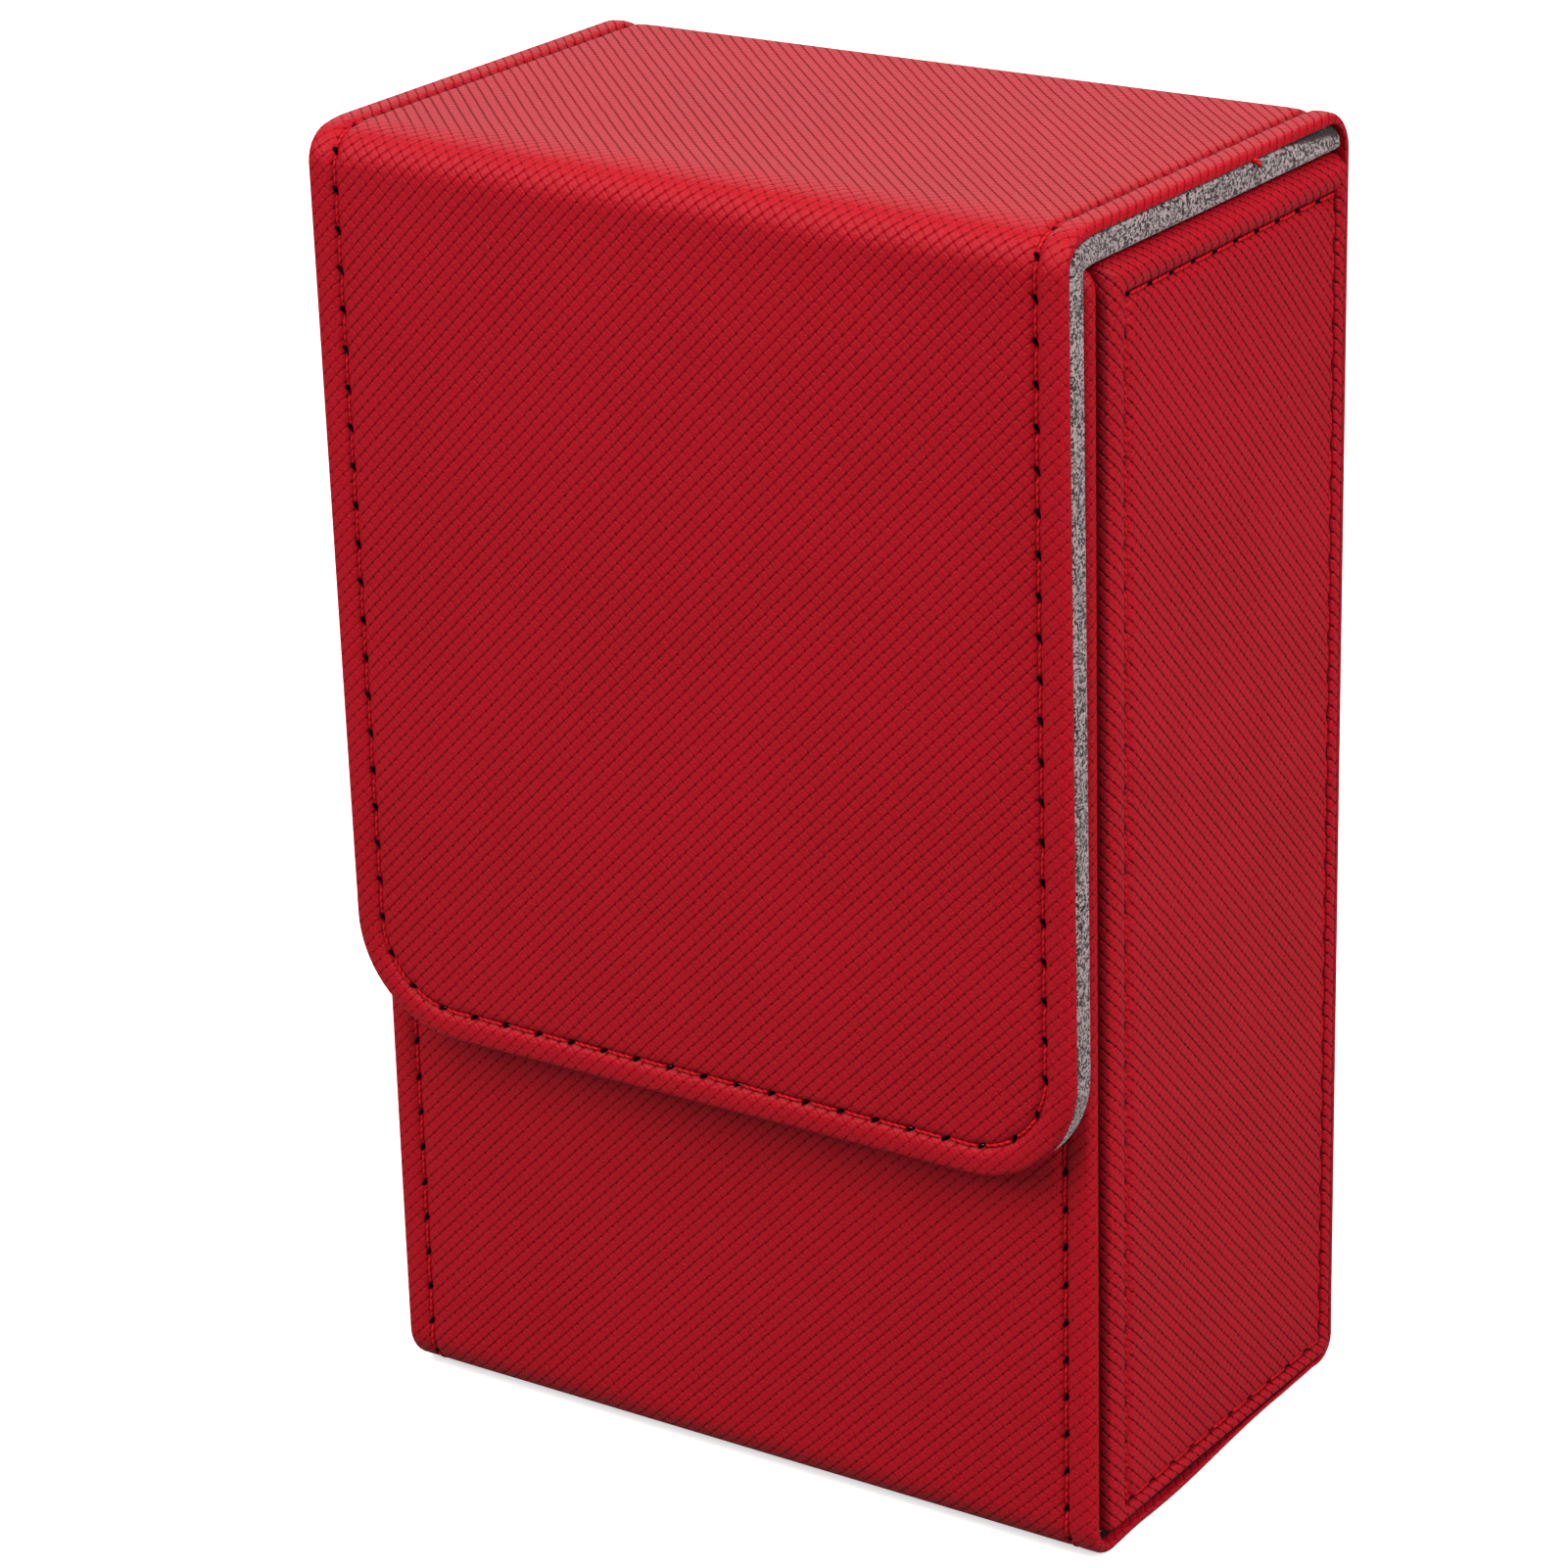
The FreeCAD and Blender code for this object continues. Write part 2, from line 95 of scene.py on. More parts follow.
# Leather: the turned hem, the sunk seam, the rolled band outside it, and the puckers at its needle holes.
HEM = 1.15
HEM_REACH = 2.2
SEAM_DEPTH = 0.34
SEAM_REACH = 0.42
BAND_RISE = 0.16
PANEL_RISE = 0.10
PUCKER = 0.22
PUCKER_REACH = 0.5
# How far soft faces depart from flat: padding under the strip, the lid's sag, the side panels' crown and
# their prouder band, with what it gains near the top, and the floor's curl, at the front and added behind.
PADDING = 0.12
LID_SAG = 0.2
SIDE_CROWN = 0.10
SIDE_PROUD = (0.14, 0.30)
FLOOR_CURL = (0.45, 1.35)
# Corners and bends. The front fold starts with a wide, short arc: FOLD_EASE is its radius and its turn.
REAR_RADIUS = 4.2
BASE_RADIUS = 4.0
FLAP_CORNER = 11.5
RIM_CORNER = 2.0
FOLD_EASE = (14.0, math.radians(12))
LEATHER_FOLD = 3.3
PAD_FOLD = 4.0
FLAP_FORWARD = 0.5
FLAP_LEAN = math.radians(0.6)
FRONT_TUCK = 0.35
# How much later than the CAD fold the two points of the front fold's span lie.
FOLD_LATE = (2.0, 1.0)
# Meshes: how wide a panel's shaped edge is, the steps of its grid, a corner's steps per millimetre of radius,
# and the zones of a panel's rings.
FACE_REACH = 6.4
FINE = 0.65
COARSE = 1.6
CORNER_STEPS = 1.6
FACE, RIM, BACKSIDE = 0, 1, 2


class Path:
    """A line in the y-z plane: straight runs, each followed by a bend. Its normal points right of travel."""

    def __init__(self, start, heading, runs):
        self.start = start
        self.heading = heading
        self.runs = runs
        self.length = sum(straight + radius * abs(turn) for straight, radius, turn in runs)

    def at(self, s):
        """y, z and the normal at distance s along the line."""
        s = np.asarray(s, float)
        y = np.full(s.shape, float(self.start[0]))
        z = np.full(s.shape, float(self.start[1]))
        heading = np.full(s.shape, float(self.heading))
        direction = self.heading
        passed = 0.0
        for straight, radius, turn in self.runs:
            forward = np.clip(s - passed, 0, straight)
            y += math.cos(direction) * forward
            z += math.sin(direction) * forward
            passed += straight
            if turn:
                way = math.copysign(1, turn)
                bent = way * np.clip(s - passed, 0, radius * abs(turn)) / radius
                y += way * radius * (np.sin(direction + bent) - math.sin(direction))
                z -= way * radius * (np.cos(direction + bent) - math.cos(direction))
                heading += bent
                passed += radius * abs(turn)
                direction += turn
        return y, z, np.sin(heading), -np.cos(heading)

    def place(self, u, v, h):
        """The point, in metres, u across, v along and h off the line."""
        y, z, normal_y, normal_z = self.at(v)
        return np.stack((u, y + h * normal_y, z + h * normal_z), axis=-1) * MM


def front_fold(tight):
    """The front fold as two arcs: it leaves the lid gently, then turns down and leans back to the box."""
    return FOLD_EASE, (tight, QUARTER - FOLD_EASE[1] + FLAP_LEAN)


def fold_reach(tight):
    """How far forward of the lid's straight run the fold ends, and how far below the lid it ends."""
    gentle, turn = FOLD_EASE
    forward = gentle * math.sin(turn) + tight * (1 - math.sin(turn)) - FLAP_FORWARD
    down = gentle * (1 - math.cos(turn)) + tight * math.cos(turn)
    return forward, down


# The wrap is one strip of leather: down the front, under the floor, up the back, over the lid, down the flap.
FOLD = front_fold(LEATHER_FOLD)
FOLD_FORWARD, FOLD_DOWN = fold_reach(LEATHER_FOLD)
LID_LENGTH = lid_high.y - lid_low.y + FOLD_RADIUS - FOLD_FORWARD
FLAP_LENGTH = flap_high.z - flap_low.z + FOLD_RADIUS - FOLD_DOWN
WRAP = Path(
    (FRONT, WALL_TOP),
    -QUARTER,
    (
        (WALL_TOP - BASE_RADIUS, BASE_RADIUS, QUARTER),
        (BACK - FRONT - BASE_RADIUS - REAR_RADIUS, REAR_RADIUS, QUARTER),
        (body_high.z - REAR_RADIUS, HINGE_RADIUS, QUARTER),
        (LID_LENGTH, *FOLD[0]),
        (0, *FOLD[1]),
        (FLAP_LENGTH, 0, 0),
    ),
)
FRONT_END = WALL_TOP - BASE_RADIUS
FLOOR_START = FRONT_END + BASE_RADIUS * QUARTER
FLOOR_LENGTH = BACK - FRONT - BASE_RADIUS - REAR_RADIUS
FLOOR_MIDDLE = FLOOR_START + FLOOR_LENGTH / 2
FLOOR_END = FLOOR_START + FLOOR_LENGTH
BACK_START = FLOOR_END + REAR_RADIUS * QUARTER
HINGE_START = BACK_START + body_high.z - REAR_RADIUS
HINGE_MIDDLE = HINGE_START + HINGE_RADIUS * QUARTER / 2
LID_START = HINGE_START + HINGE_RADIUS * QUARTER
LID_END = LID_START + LID_LENGTH
LID_MIDDLE = (LID_START + LID_END) / 2
FLAP_START = LID_END + sum(radius * turn for radius, turn in FOLD)


def smooth(value, low, high):
    """0 below low, 1 above high, and an even slope between them."""
    t = np.clip((value - low) / (high - low), 0, 1)
    return t * t * (3 - 2 * t)


def spread(first, last, step):
    """Even steps of about that size from first to last."""
    return np.linspace(first, last, max(1, round(abs(last - first) / step)) + 1)


def quarter_turn(count):
    """Sines and cosines of count + 1 even steps from 0 to 90 degrees."""
    return [(math.sin(a), math.cos(a)) for a in np.linspace(0, QUARTER, count + 1)]


# ---------------------------------------------------------------- rims: chains of points that can be inset
# A rim point is its anchor, its inward signs, its place on a corner's arc, its sides' shares and its radius.
def straight_rim(us, vs, sign_u, sign_v, share):
    """A straight stretch, inset along u or along v."""
    return [(u, v, sign_u, sign_v, abs(sign_u), abs(sign_v), share, share, 0) for u, v in zip(us, vs)]


def corner_rim(u, v, sign_u, sign_v, share_u, share_v, radius, turned):
    """A rounded corner, from the side it leaves to the end it joins, or the other way when turned."""
    steps = quarter_turn(max(4, round(radius * CORNER_STEPS)))
    rim = [(u, v, sign_u, sign_v, cosine, sine, share_u, share_v, radius) for sine, cosine in steps]
    return rim[::-1] if turned else rim


def inset(rim, distance):
    """(u, v) of every rim point, moved in by distance times its side's share."""
    anchor, sign, arc, share, radius = rim[:, 0:2], rim[:, 2:4], rim[:, 4:6], rim[:, 6:8], rim[:, 8:9]
    moved = share * np.broadcast_to(distance, len(rim))[:, None]
    middle = np.maximum(radius, moved)
    return anchor + sign * (middle - (middle - moved) * arc)


def rims(u_span, v_span, us, vs, way, free, share, radius):
    """The rim of a panel, as one closed chain, one open chain round its far end, or its two sides."""
    u0, u1 = u_span
    v0, v1 = v_span
    inner = vs[int(free[0]): len(vs) - int(free[1])]
    left = straight_rim([u0] * len(inner), inner, 1, 0, share[0])
    right = straight_rim([u1] * len(inner), inner[::-1], -1, 0, share[1])
    if not free[1]:
        return [np.array(left), np.array(right)]
    across = us[1:-1]
    far = corner_rim(u0, v1, 1, -way, share[0], share[3], radius[1], False)
    far += straight_rim(across, [v1] * len(across), 0, -way, share[3])
    far += corner_rim(u1, v1, -1, -way, share[1], share[3], radius[1], True)
    if not free[0]:
        return [np.array(left + far + right)]
    near = corner_rim(u1, v0, -1, way, share[1], share[2], radius[0], False)
    near += straight_rim(across[::-1], [v0] * len(across), 0, way, share[2])
    near += corner_rim(u0, v0, 1, way, share[0], share[2], radius[0], True)
    return [np.array(left + far + right + near + left[:1])]


# ---------------------------------------------------------------- cross-sections of an edge
def leather_edge(depth, roundness=0.85):
    """Rings of a turned leather edge of that depth, from the face round the rim to the back of the sheet."""
    near_seam = [SEAM + step for step in (1.8, 1.1, 0.7, 0.45, 0.22, 0, -0.22, -0.45, -0.8, -1.3)]
    last_flat = 1.2
    rings = [(d, 0, FACE) for d in (FACE_REACH, *near_seam, last_flat)]
    outer = np.minimum(roundness, 0.66 * depth)
    inner = 0.2
    for sine, cosine in quarter_turn(6):
        rings.append((outer * (1 - sine), -outer * (1 - cosine), RIM))
    for sine, cosine in quarter_turn(3):
        rings.append((inner * (1 - cosine), inner - depth - inner * sine, RIM))
    rings.append((HEM_REACH, -depth, BACKSIDE))
    rings.append((HEM_REACH, -SHEET, BACKSIDE))
    rings.append((FACE_REACH, -SHEET, BACKSIDE))
    return rings


def seam_relief(d, t):
    """Height of the leather round its seam: a rolled band, a sunk line, and a pucker at every needle hole."""
    band = BAND_RISE * np.sin(np.pi * np.clip(d / SEAM, 0, 1))
    panel = PANEL_RISE * (1 - np.exp(-np.maximum(d - SEAM, 0)))
    line = -SEAM_DEPTH * np.exp(-(((d - SEAM) / SEAM_REACH) ** 2))
    to_hole = np.abs((t + 0.5) % 1 - 0.5) * STITCH
    hole = np.exp(-((to_hole / PUCKER_REACH) ** 2)) * np.exp(-(((d - SEAM) / PUCKER_REACH) ** 2))
    return band + panel + line - PUCKER * hole


def soft_edge(reach, face_round, back_round, thickness):
    """Rings of a lining's edge. Each rounding is a number or a function of the place along the rim."""
    near_seam = [SEAM + step for step in (0.6, 0.3, 0, -0.3, -0.6, -1.1)]
    flat = [reach] + [d for d in (4.8, 4.0, *near_seam, 1.5) if d < reach - 0.2]

    def rings(v):
        face = face_round(v) if callable(face_round) else np.full(len(v), face_round)
        back = back_round(v) if callable(back_round) else np.full(len(v), back_round)
        found = [(d, 0, FACE) for d in flat]
        for sine, cosine in quarter_turn(5):
            found.append((face * (1 - sine), -face * (1 - cosine), RIM))
        for sine, cosine in quarter_turn(5):
            found.append((back * (1 - cosine), back - thickness - back * sine, RIM))
        found.append((reach, -thickness, BACKSIDE))
        return found

    return rings


# ---------------------------------------------------------------- panels
def grid(first, rows, columns):
    """Vertex numbers of rows by columns points, counted from first."""
    return first + np.arange(rows * columns).reshape(rows, columns)


def quads(index):
    """Faces between the neighbouring rows and columns of a grid of vertex numbers."""
    corners = (index[:-1, :-1], index[1:, :-1], index[1:, 1:], index[:-1, 1:])
    return np.stack([corner.ravel() for corner in corners], axis=1).tolist()


def tube(index):
    """Faces of a tube whose rows of vertices go round it, with a cap at each end."""
    wrapped = np.concatenate((index, index[:, :1]), axis=1)
    return quads(wrapped) + [index[0].tolist(), index[-1].tolist()]


def finish_mesh(name, points, faces, layers, material, sharp=55):
    """A closed, smooth-shaded object. layers holds every point's UV and the values its material reads."""
    mesh = bpy.data.meshes.new(name)
    mesh.from_pydata(points.tolist(), [], faces)
    corners = np.zeros(len(mesh.loops), int)
    mesh.loops.foreach_get("vertex_index", corners)
    uv = mesh.uv_layers.new(name="UVMap")
    uv.data.foreach_set("uv", (layers["uv"][corners] * MM).ravel())
    for key in ("inset", "stitch", "lay", "backing"):
        if key in layers:
            layer = mesh.attributes.new(key, "FLOAT", "CORNER")
            layer.data.foreach_set("value", layers[key][corners].astype(np.float32))
    work = bmesh.new()
    work.from_mesh(mesh)
    bmesh.ops.remove_doubles(work, verts=work.verts, dist=2e-6)
    bmesh.ops.holes_fill(work, edges=[edge for edge in work.edges if edge.is_boundary])
    bmesh.ops.recalc_face_normals(work, faces=work.faces)
    for face in work.faces:
        face.smooth = True
    for edge in work.edges:
        edge.smooth = edge.calc_face_angle(0) < math.radians(sharp)
    work.to_mesh(mesh)
    work.free()
    mesh.materials.append(material)
    piece = bpy.data.objects.new(name, mesh)
    bpy.context.scene.collection.objects.link(piece)
    return piece


def panel(name, place, u_span, v_span, edge, material, reach=FACE_REACH, free=(True, True),
          share=(1, 1, 1, 1), radius=(1, 1), step=(COARSE, FINE), depth=None, relief=None, swell=None,
          lay=None):
    """A closed panel with rounded corners and a shaped edge. Returns it and its seam lines."""
    way = 1 if v_span[1] > v_span[0] else -1
    first_v = v_span[0] + way * reach * share[2] * free[0]
    last_v = v_span[1] - way * reach * share[3] * free[1]
    us = spread(u_span[0] + reach * share[0], u_span[1] - reach * share[1], step[0])
    vs = spread(first_v, last_v, step[1])
    layers = {key: [] for key in ("point", "uv", "inset", "stitch", "lay", "backing")}
    faces = []
    seams = []
    start = 0

    def add(u, v, h, uv, d, t, backing):
        layers["point"].append(place(u, v, h))
        layers["uv"].append(uv)
        layers["inset"].append(d)
        layers["stitch"].append(t)
        layers["lay"].append(lay(v) if lay else np.zeros(len(v)))
        layers["backing"].append(np.full(len(v), float(backing)))

    def raised(u, v, d, t):
        height = relief(u, v, d, t) if relief else np.zeros(len(u))
        return height + (swell(u, v) * smooth(d, 0, reach) if swell else 0)

    for rim in rims(u_span, v_span, us, vs, way, free, share, radius):
        seam = inset(rim, SEAM)
        run = np.concatenate(([0], np.cumsum(np.hypot(*np.diff(seam, axis=0).T))))
        t = run / run[-1] * max(1, round(run[-1] / STITCH))
        rings = edge(depth(rim[:, 1]) if depth else rim[:, 1])
        unrolled, last = None, None
        for d, h, zone in rings:
            d = np.broadcast_to(np.asarray(d, float), len(rim))
            h = np.broadcast_to(np.asarray(h, float), len(rim))
            if zone == FACE:
                unrolled = d
            elif zone == RIM:
                unrolled = unrolled - np.hypot(d - last[0], h - last[1])
            last = (d, h)
            u, v = inset(rim, d).T
            if zone != BACKSIDE:
                h = h + raised(u, v, d, t)
            uv = inset(rim, unrolled if zone != BACKSIDE else d)
            add(u, v, h, uv, d, t, zone == BACKSIDE)
        faces += quads(grid(start, len(rings), len(rim)))
        start += len(rings) * len(rim)
        height = raised(seam[:, 0], seam[:, 1], np.full(len(rim), SEAM), np.full(len(rim), 0.5))
        seams.append({"t": t, "u": seam[:, 0], "v": seam[:, 1], "h": height})

    v, u = (values.ravel() for values in np.meshgrid(vs, us, indexing="ij"))
    at_reach = np.full(len(u), float(reach))
    back_height = edge(depth(v) if depth else v)[-1][1]
    no_stitch = np.zeros(len(u))
    face_height = raised(u, v, at_reach, no_stitch)
    for backing, height in enumerate((face_height, np.broadcast_to(back_height, len(u)))):
        add(u, v, height, np.stack((u, v), axis=1), at_reach, no_stitch, backing)
        faces += quads(grid(start, len(vs), len(us)))
        start += len(u)
    joined = {key: np.concatenate(parts) for key, parts in layers.items()}
    return finish_mesh(name, joined.pop("point"), faces, joined, material), seams


def stitched(name, seams, place, material, keep=None, radius=THREAD_RADIUS, sink=0.45, stations=8, sides=7):
    """Thread along seam lines: each stitch rises from a needle hole, lies in the seam and dips into the next.

    sink is how deep it lies, in thread radii: a number or a function of v."""
    along = np.linspace(*STITCH_SPAN, stations)
    around = np.linspace(0, 2 * np.pi, sides, endpoint=False)
    points = []
    uvs = []
    faces = []
    start = 0
    for seam in seams:
        for stitch in range(round(seam["t"][-1])):
            t = stitch + along
            u, v, h = (np.interp(t, seam["t"], seam[key]) for key in ("u", "v", "h"))
            if keep and not keep(u, v):
                continue
            ahead = np.stack((np.gradient(u), np.gradient(v)), axis=1)
            ahead /= np.linalg.norm(ahead, axis=1)[:, None]
            slant = (2 * along - 1) * STITCH_SLANT
            u = u - ahead[:, 1] * slant
            v = v + ahead[:, 0] * slant
            dip = np.abs(2 * along - 1) ** 5
            thick = radius * (1 - 0.35 * dip)
            sunk = sink(v) if callable(sink) else sink
            h = h + radius * (1 - sunk) - dip * (radius + STITCH_DIP)
            side = thick[:, None] * np.cos(around)
            rise = thick[:, None] * np.sin(around)
            ring_u = u[:, None] - ahead[:, 1:2] * side
            ring_v = v[:, None] + ahead[:, 0:1] * side
            ring_h = h[:, None] + rise
            points.append(place(ring_u.ravel(), ring_v.ravel(), ring_h.ravel()))
            run = np.broadcast_to((t * STITCH)[:, None], ring_u.shape)
            turn = np.broadcast_to(around / (2 * np.pi), ring_u.shape)
            uvs.append(np.stack((run.ravel(), turn.ravel()), axis=1))
            faces += tube(grid(start, stations, sides))
            start += stations * sides
    return finish_mesh(name, np.concatenate(points), faces, {"uv": np.concatenate(uvs)}, material, sharp=70)


# ---------------------------------------------------------------- procedural materials
class Shader:
    """A material's node tree, with short calls that add a node and hand back its output."""

    def __init__(self, name):
        self.material = bpy.data.materials.new(name)
        self.material.use_nodes = True
        self.tree = self.material.node_tree
        self.surface = self.tree.nodes["Principled BSDF"]

    def give(self, socket, value):
        if isinstance(value, bpy.types.NodeSocket):
            self.tree.links.new(value, socket)
        else:
            socket.default_value = value

    def add(self, kind, *values, output=0, **settings):
        """A new node, with its first inputs set or linked and its settings made: one of its outputs."""
        made = self.tree.nodes.new("ShaderNode" + kind)
        for key, value in settings.items():
            setattr(made, key, value)
        for socket, value in zip(made.inputs, values):
            self.give(socket, value)
        return made.outputs[output]

    def maths(self, operation, *values):
        return self.add("Math", *values, operation=operation)

    def total(self, first, *others):
        for value in others:
            first = self.maths("ADD", first, value)
        return first

    def product(self, first, *others):
        for value in others:
            first = self.maths("MULTIPLY", first, value)
        return first

    def between(self, value, low, high, to_low=0.0, to_high=1.0):
        """value mapped smoothly from low..high to to_low..to_high."""
        return self.add("MapRange", value, low, high, to_low, to_high, interpolation_type="SMOOTHSTEP")

    def blend(self, share, first, second):
        """The first colour where share is 0, the second where it is 1."""
        made = self.tree.nodes.new("ShaderNodeMix")
        made.data_type = "RGBA"
        self.give(made.inputs["Factor"], share)
        self.give(made.inputs["A"], first)
        self.give(made.inputs["B"], second)
        return made.outputs["Result"]

    def noise(self, vector, scale, detail=2.0):
        made = self.tree.nodes.new("ShaderNodeTexNoise")
        self.give(made.inputs["Vector"], vector)
        made.inputs["Scale"].default_value = scale
        made.inputs["Detail"].default_value = detail
        return made.outputs["Fac"]

    def attribute(self, name):
        made = self.tree.nodes.new("ShaderNodeAttribute")
        made.attribute_name = name
        return made.outputs["Fac"]

    def uv_mm(self):
        """The UV map in millimetres: the vector, its u and its v."""
        made = self.tree.nodes.new("ShaderNodeUVMap")
        made.uv_map = "UVMap"
        scaled = self.tree.nodes.new("ShaderNodeVectorMath")
        scaled.operation = "SCALE"
        self.give(scaled.inputs[0], made.outputs[0])
        scaled.inputs["Scale"].default_value = 1 / MM
        split = self.tree.nodes.new("ShaderNodeSeparateXYZ")
        self.give(split.inputs[0], scaled.outputs[0])
        return scaled.outputs[0], split.outputs[0], split.outputs[1]

    def bump(self, height, strength=1.0):
        """A relief whose height is in millimetres."""
        made = self.tree.nodes.new("ShaderNodeBump")
        made.inputs["Strength"].default_value = strength
        made.inputs["Distance"].default_value = MM
        self.give(made.inputs["Height"], height)
        self.give(self.surface.inputs["Normal"], made.outputs[0])

    def finish(self, **values):
        """Sets the surface's inputs, named with _ for a space, and returns the material."""
        for key, value in values.items():
            self.give(self.surface.inputs[key.replace("_", " ")], value)
        return self.material


LEATHER_DARK = (0.195, 0.0012, 0.0050, 1)
LEATHER_LIGHT = (0.412, 0.0042, 0.0125, 1)
SIDE_DARK = (0.110, 0.0010, 0.0035, 1)
SIDE_LIGHT = (0.445, 0.0058, 0.0160, 1)
BACKING_CLOTH = (0.030, 0.012, 0.011, 1)
# Black for needle holes and the seam line, and for the painted shade on the side panels' rims.
HOLE_AND_SHADE_BLACK = (0.008, 0.001, 0.001, 1)
FIBRE_DARK = (0.010, 0.006, 0.006, 1)
FIBRE_MIDDLE = (0.20, 0.157, 0.160, 1)
FIBRE_LIGHT = (0.450, 0.352, 0.356, 1)
# Black for the painted shade along the edges of the pad and the linings.
PAINTED_SHADE_BLACK = (0.010, 0.004, 0.004, 1)
THREAD_DARK = (0.20, 0.0015, 0.004, 1)
THREAD_LIGHT = (0.62, 0.006, 0.014, 1)
GROOVE_ANGLE = math.radians(45)
EMBOSS = 0.11
PORES = 0.09
FLECKS = 0.38
CLOUDS = 0.08


def leather_material(name, colours, pitch, needle, rising_depth, band_depth, seam, rim_shade):
    """Embossed leather: two crossing families of grooves round small pillows, needle holes and a dark seam.

    colours: of the groove and of the pillow. pitch: of the grooves, in millimetres. needle: a hole's half
    width and half length in millimetres, and its slant. rising_depth: the rising grooves' share of the
    emboss. band_depth: how strong the grooves are outside the seam. seam: the dark line's strength, its
    offset and half width in millimetres, and the least of it that shows. rim_shade: how strong the painted
    shade is along the rim, where the edge turns away into the gap beside the next part."""
    shader = Shader(name)
    groove, crest = colours
    hole_width, hole_length, slant = needle
    seam_shade, seam_offset, seam_width, seam_floor = seam
    vector, u, v = shader.uv_mm()

    # The pattern: both families of grooves, whose lines wander a little and flatten outside the seam.
    wander = shader.between(shader.noise(vector, 0.35), 0.0, 1.0, -0.05, 0.05)
    sine = math.sin(GROOVE_ANGLE) / pitch
    cosine = math.cos(GROOVE_ANGLE) / pitch
    rising = shader.total(shader.product(v, cosine), shader.product(u, sine), wander)
    falling = shader.total(shader.product(v, sine), shader.product(u, -cosine), wander)

    def pillow(turns):
        """0 along the middle of every groove, 1 on the pillows between them."""
        wave = shader.maths("ABSOLUTE", shader.maths("SINE", shader.product(turns, math.pi)))
        return shader.between(wave, 0.0, 0.62)

    lay = shader.attribute("lay")
    rising_share = shader.between(lay, 0.0, 1.0, rising_depth, 0.22)
    falling_share = shader.maths("SUBTRACT", 1.0, rising_share)
    pattern = shader.total(
        shader.product(pillow(rising), rising_share), shader.product(pillow(falling), falling_share)
    )
    inset_mm = shader.attribute("inset")
    stretched = shader.between(inset_mm, 2.6, 4.4, band_depth, 1.0)

    # Needle holes: slanted ellipses on the seam, less black on the lid.
    past_hole = shader.maths("WRAP", shader.attribute("stitch"), 0.5, -0.5)
    to_hole = shader.product(past_hole, STITCH / hole_length)
    slanted = shader.total(inset_mm, -SEAM, shader.product(past_hole, -slant * STITCH))
    off_seam = shader.product(slanted, 1 / hole_width)
    hole_distance = shader.total(shader.product(to_hole, to_hole), shader.product(off_seam, off_seam))
    blackness = shader.total(shader.product(lay, -0.45), 1.0)
    hole = shader.product(shader.between(hole_distance, 0.6, 1.3, 1.0, 0.0), blackness)

    # Colour: light pillows in dark grooves, with flecks and faint clouds.
    grain = shader.noise(vector, 4.0, 4.0)
    fleck = shader.between(grain, 0.35, 0.65, -FLECKS, FLECKS)
    cloud = shader.between(shader.noise(vector, 0.06), 0.3, 0.7, -CLOUDS, CLOUDS)
    shade = shader.between(pattern, 0.15, 0.85)
    shade = shader.total(shader.product(shader.total(shade, -1.0), stretched), 1.0, cloud, fleck)
    colour = shader.blend(shade, groove, crest)

    #     Dark lines: the seam, broken where the pillows cross it, and painted shade on the rim, where the
    #         edge turns away into the gap. The painted shade is weaker along the top, where the lid casts its
    #         own shadow.
    from_seam = shader.maths("ABSOLUTE", shader.total(inset_mm, seam_offset - SEAM))
    widest = shader.total(shader.product(lay, 0.3), seam_width)
    line = shader.between(from_seam, 0.12, widest, seam_shade, 0.0)
    broken = shader.between(pillow(rising), 0.0, 1.0, 1.0, seam_floor)
    below_top = shader.between(v, wall_high.z - 3.5, wall_high.z - 1.5, 1.0, 0.25)
    rim = shader.product(shader.between(inset_mm, 0.02, 0.7, rim_shade, 0.0), below_top)
    dark = shader.maths("MAXIMUM", shader.maths("MAXIMUM", shader.product(line, broken), hole), rim)
    colour = shader.blend(dark, colour, HOLE_AND_SHADE_BLACK)
    colour = shader.blend(shader.between(shader.attribute("backing"), 0.3, 0.6), colour, BACKING_CLOTH)

    # Relief and gloss: raised, smoother pillows with fine pores, and no shine in holes and dark lines.
    relief = shader.total(shader.product(pattern, stretched, EMBOSS), shader.product(grain, PORES))
    shader.bump(relief)
    roughness = shader.between(shader.total(pattern, shader.product(grain, 0.3)), 0.3, 1.2, 0.56, 0.40)
    return shader.finish(
        Base_Color=colour,
        Roughness=shader.total(roughness, shader.product(hole, 0.4)),
        Specular_IOR_Level=shader.product(
            shader.between(pattern, 0.2, 0.8, 0.03, 0.13), shader.maths("SUBTRACT", 1.0, dark)
        ),
    )


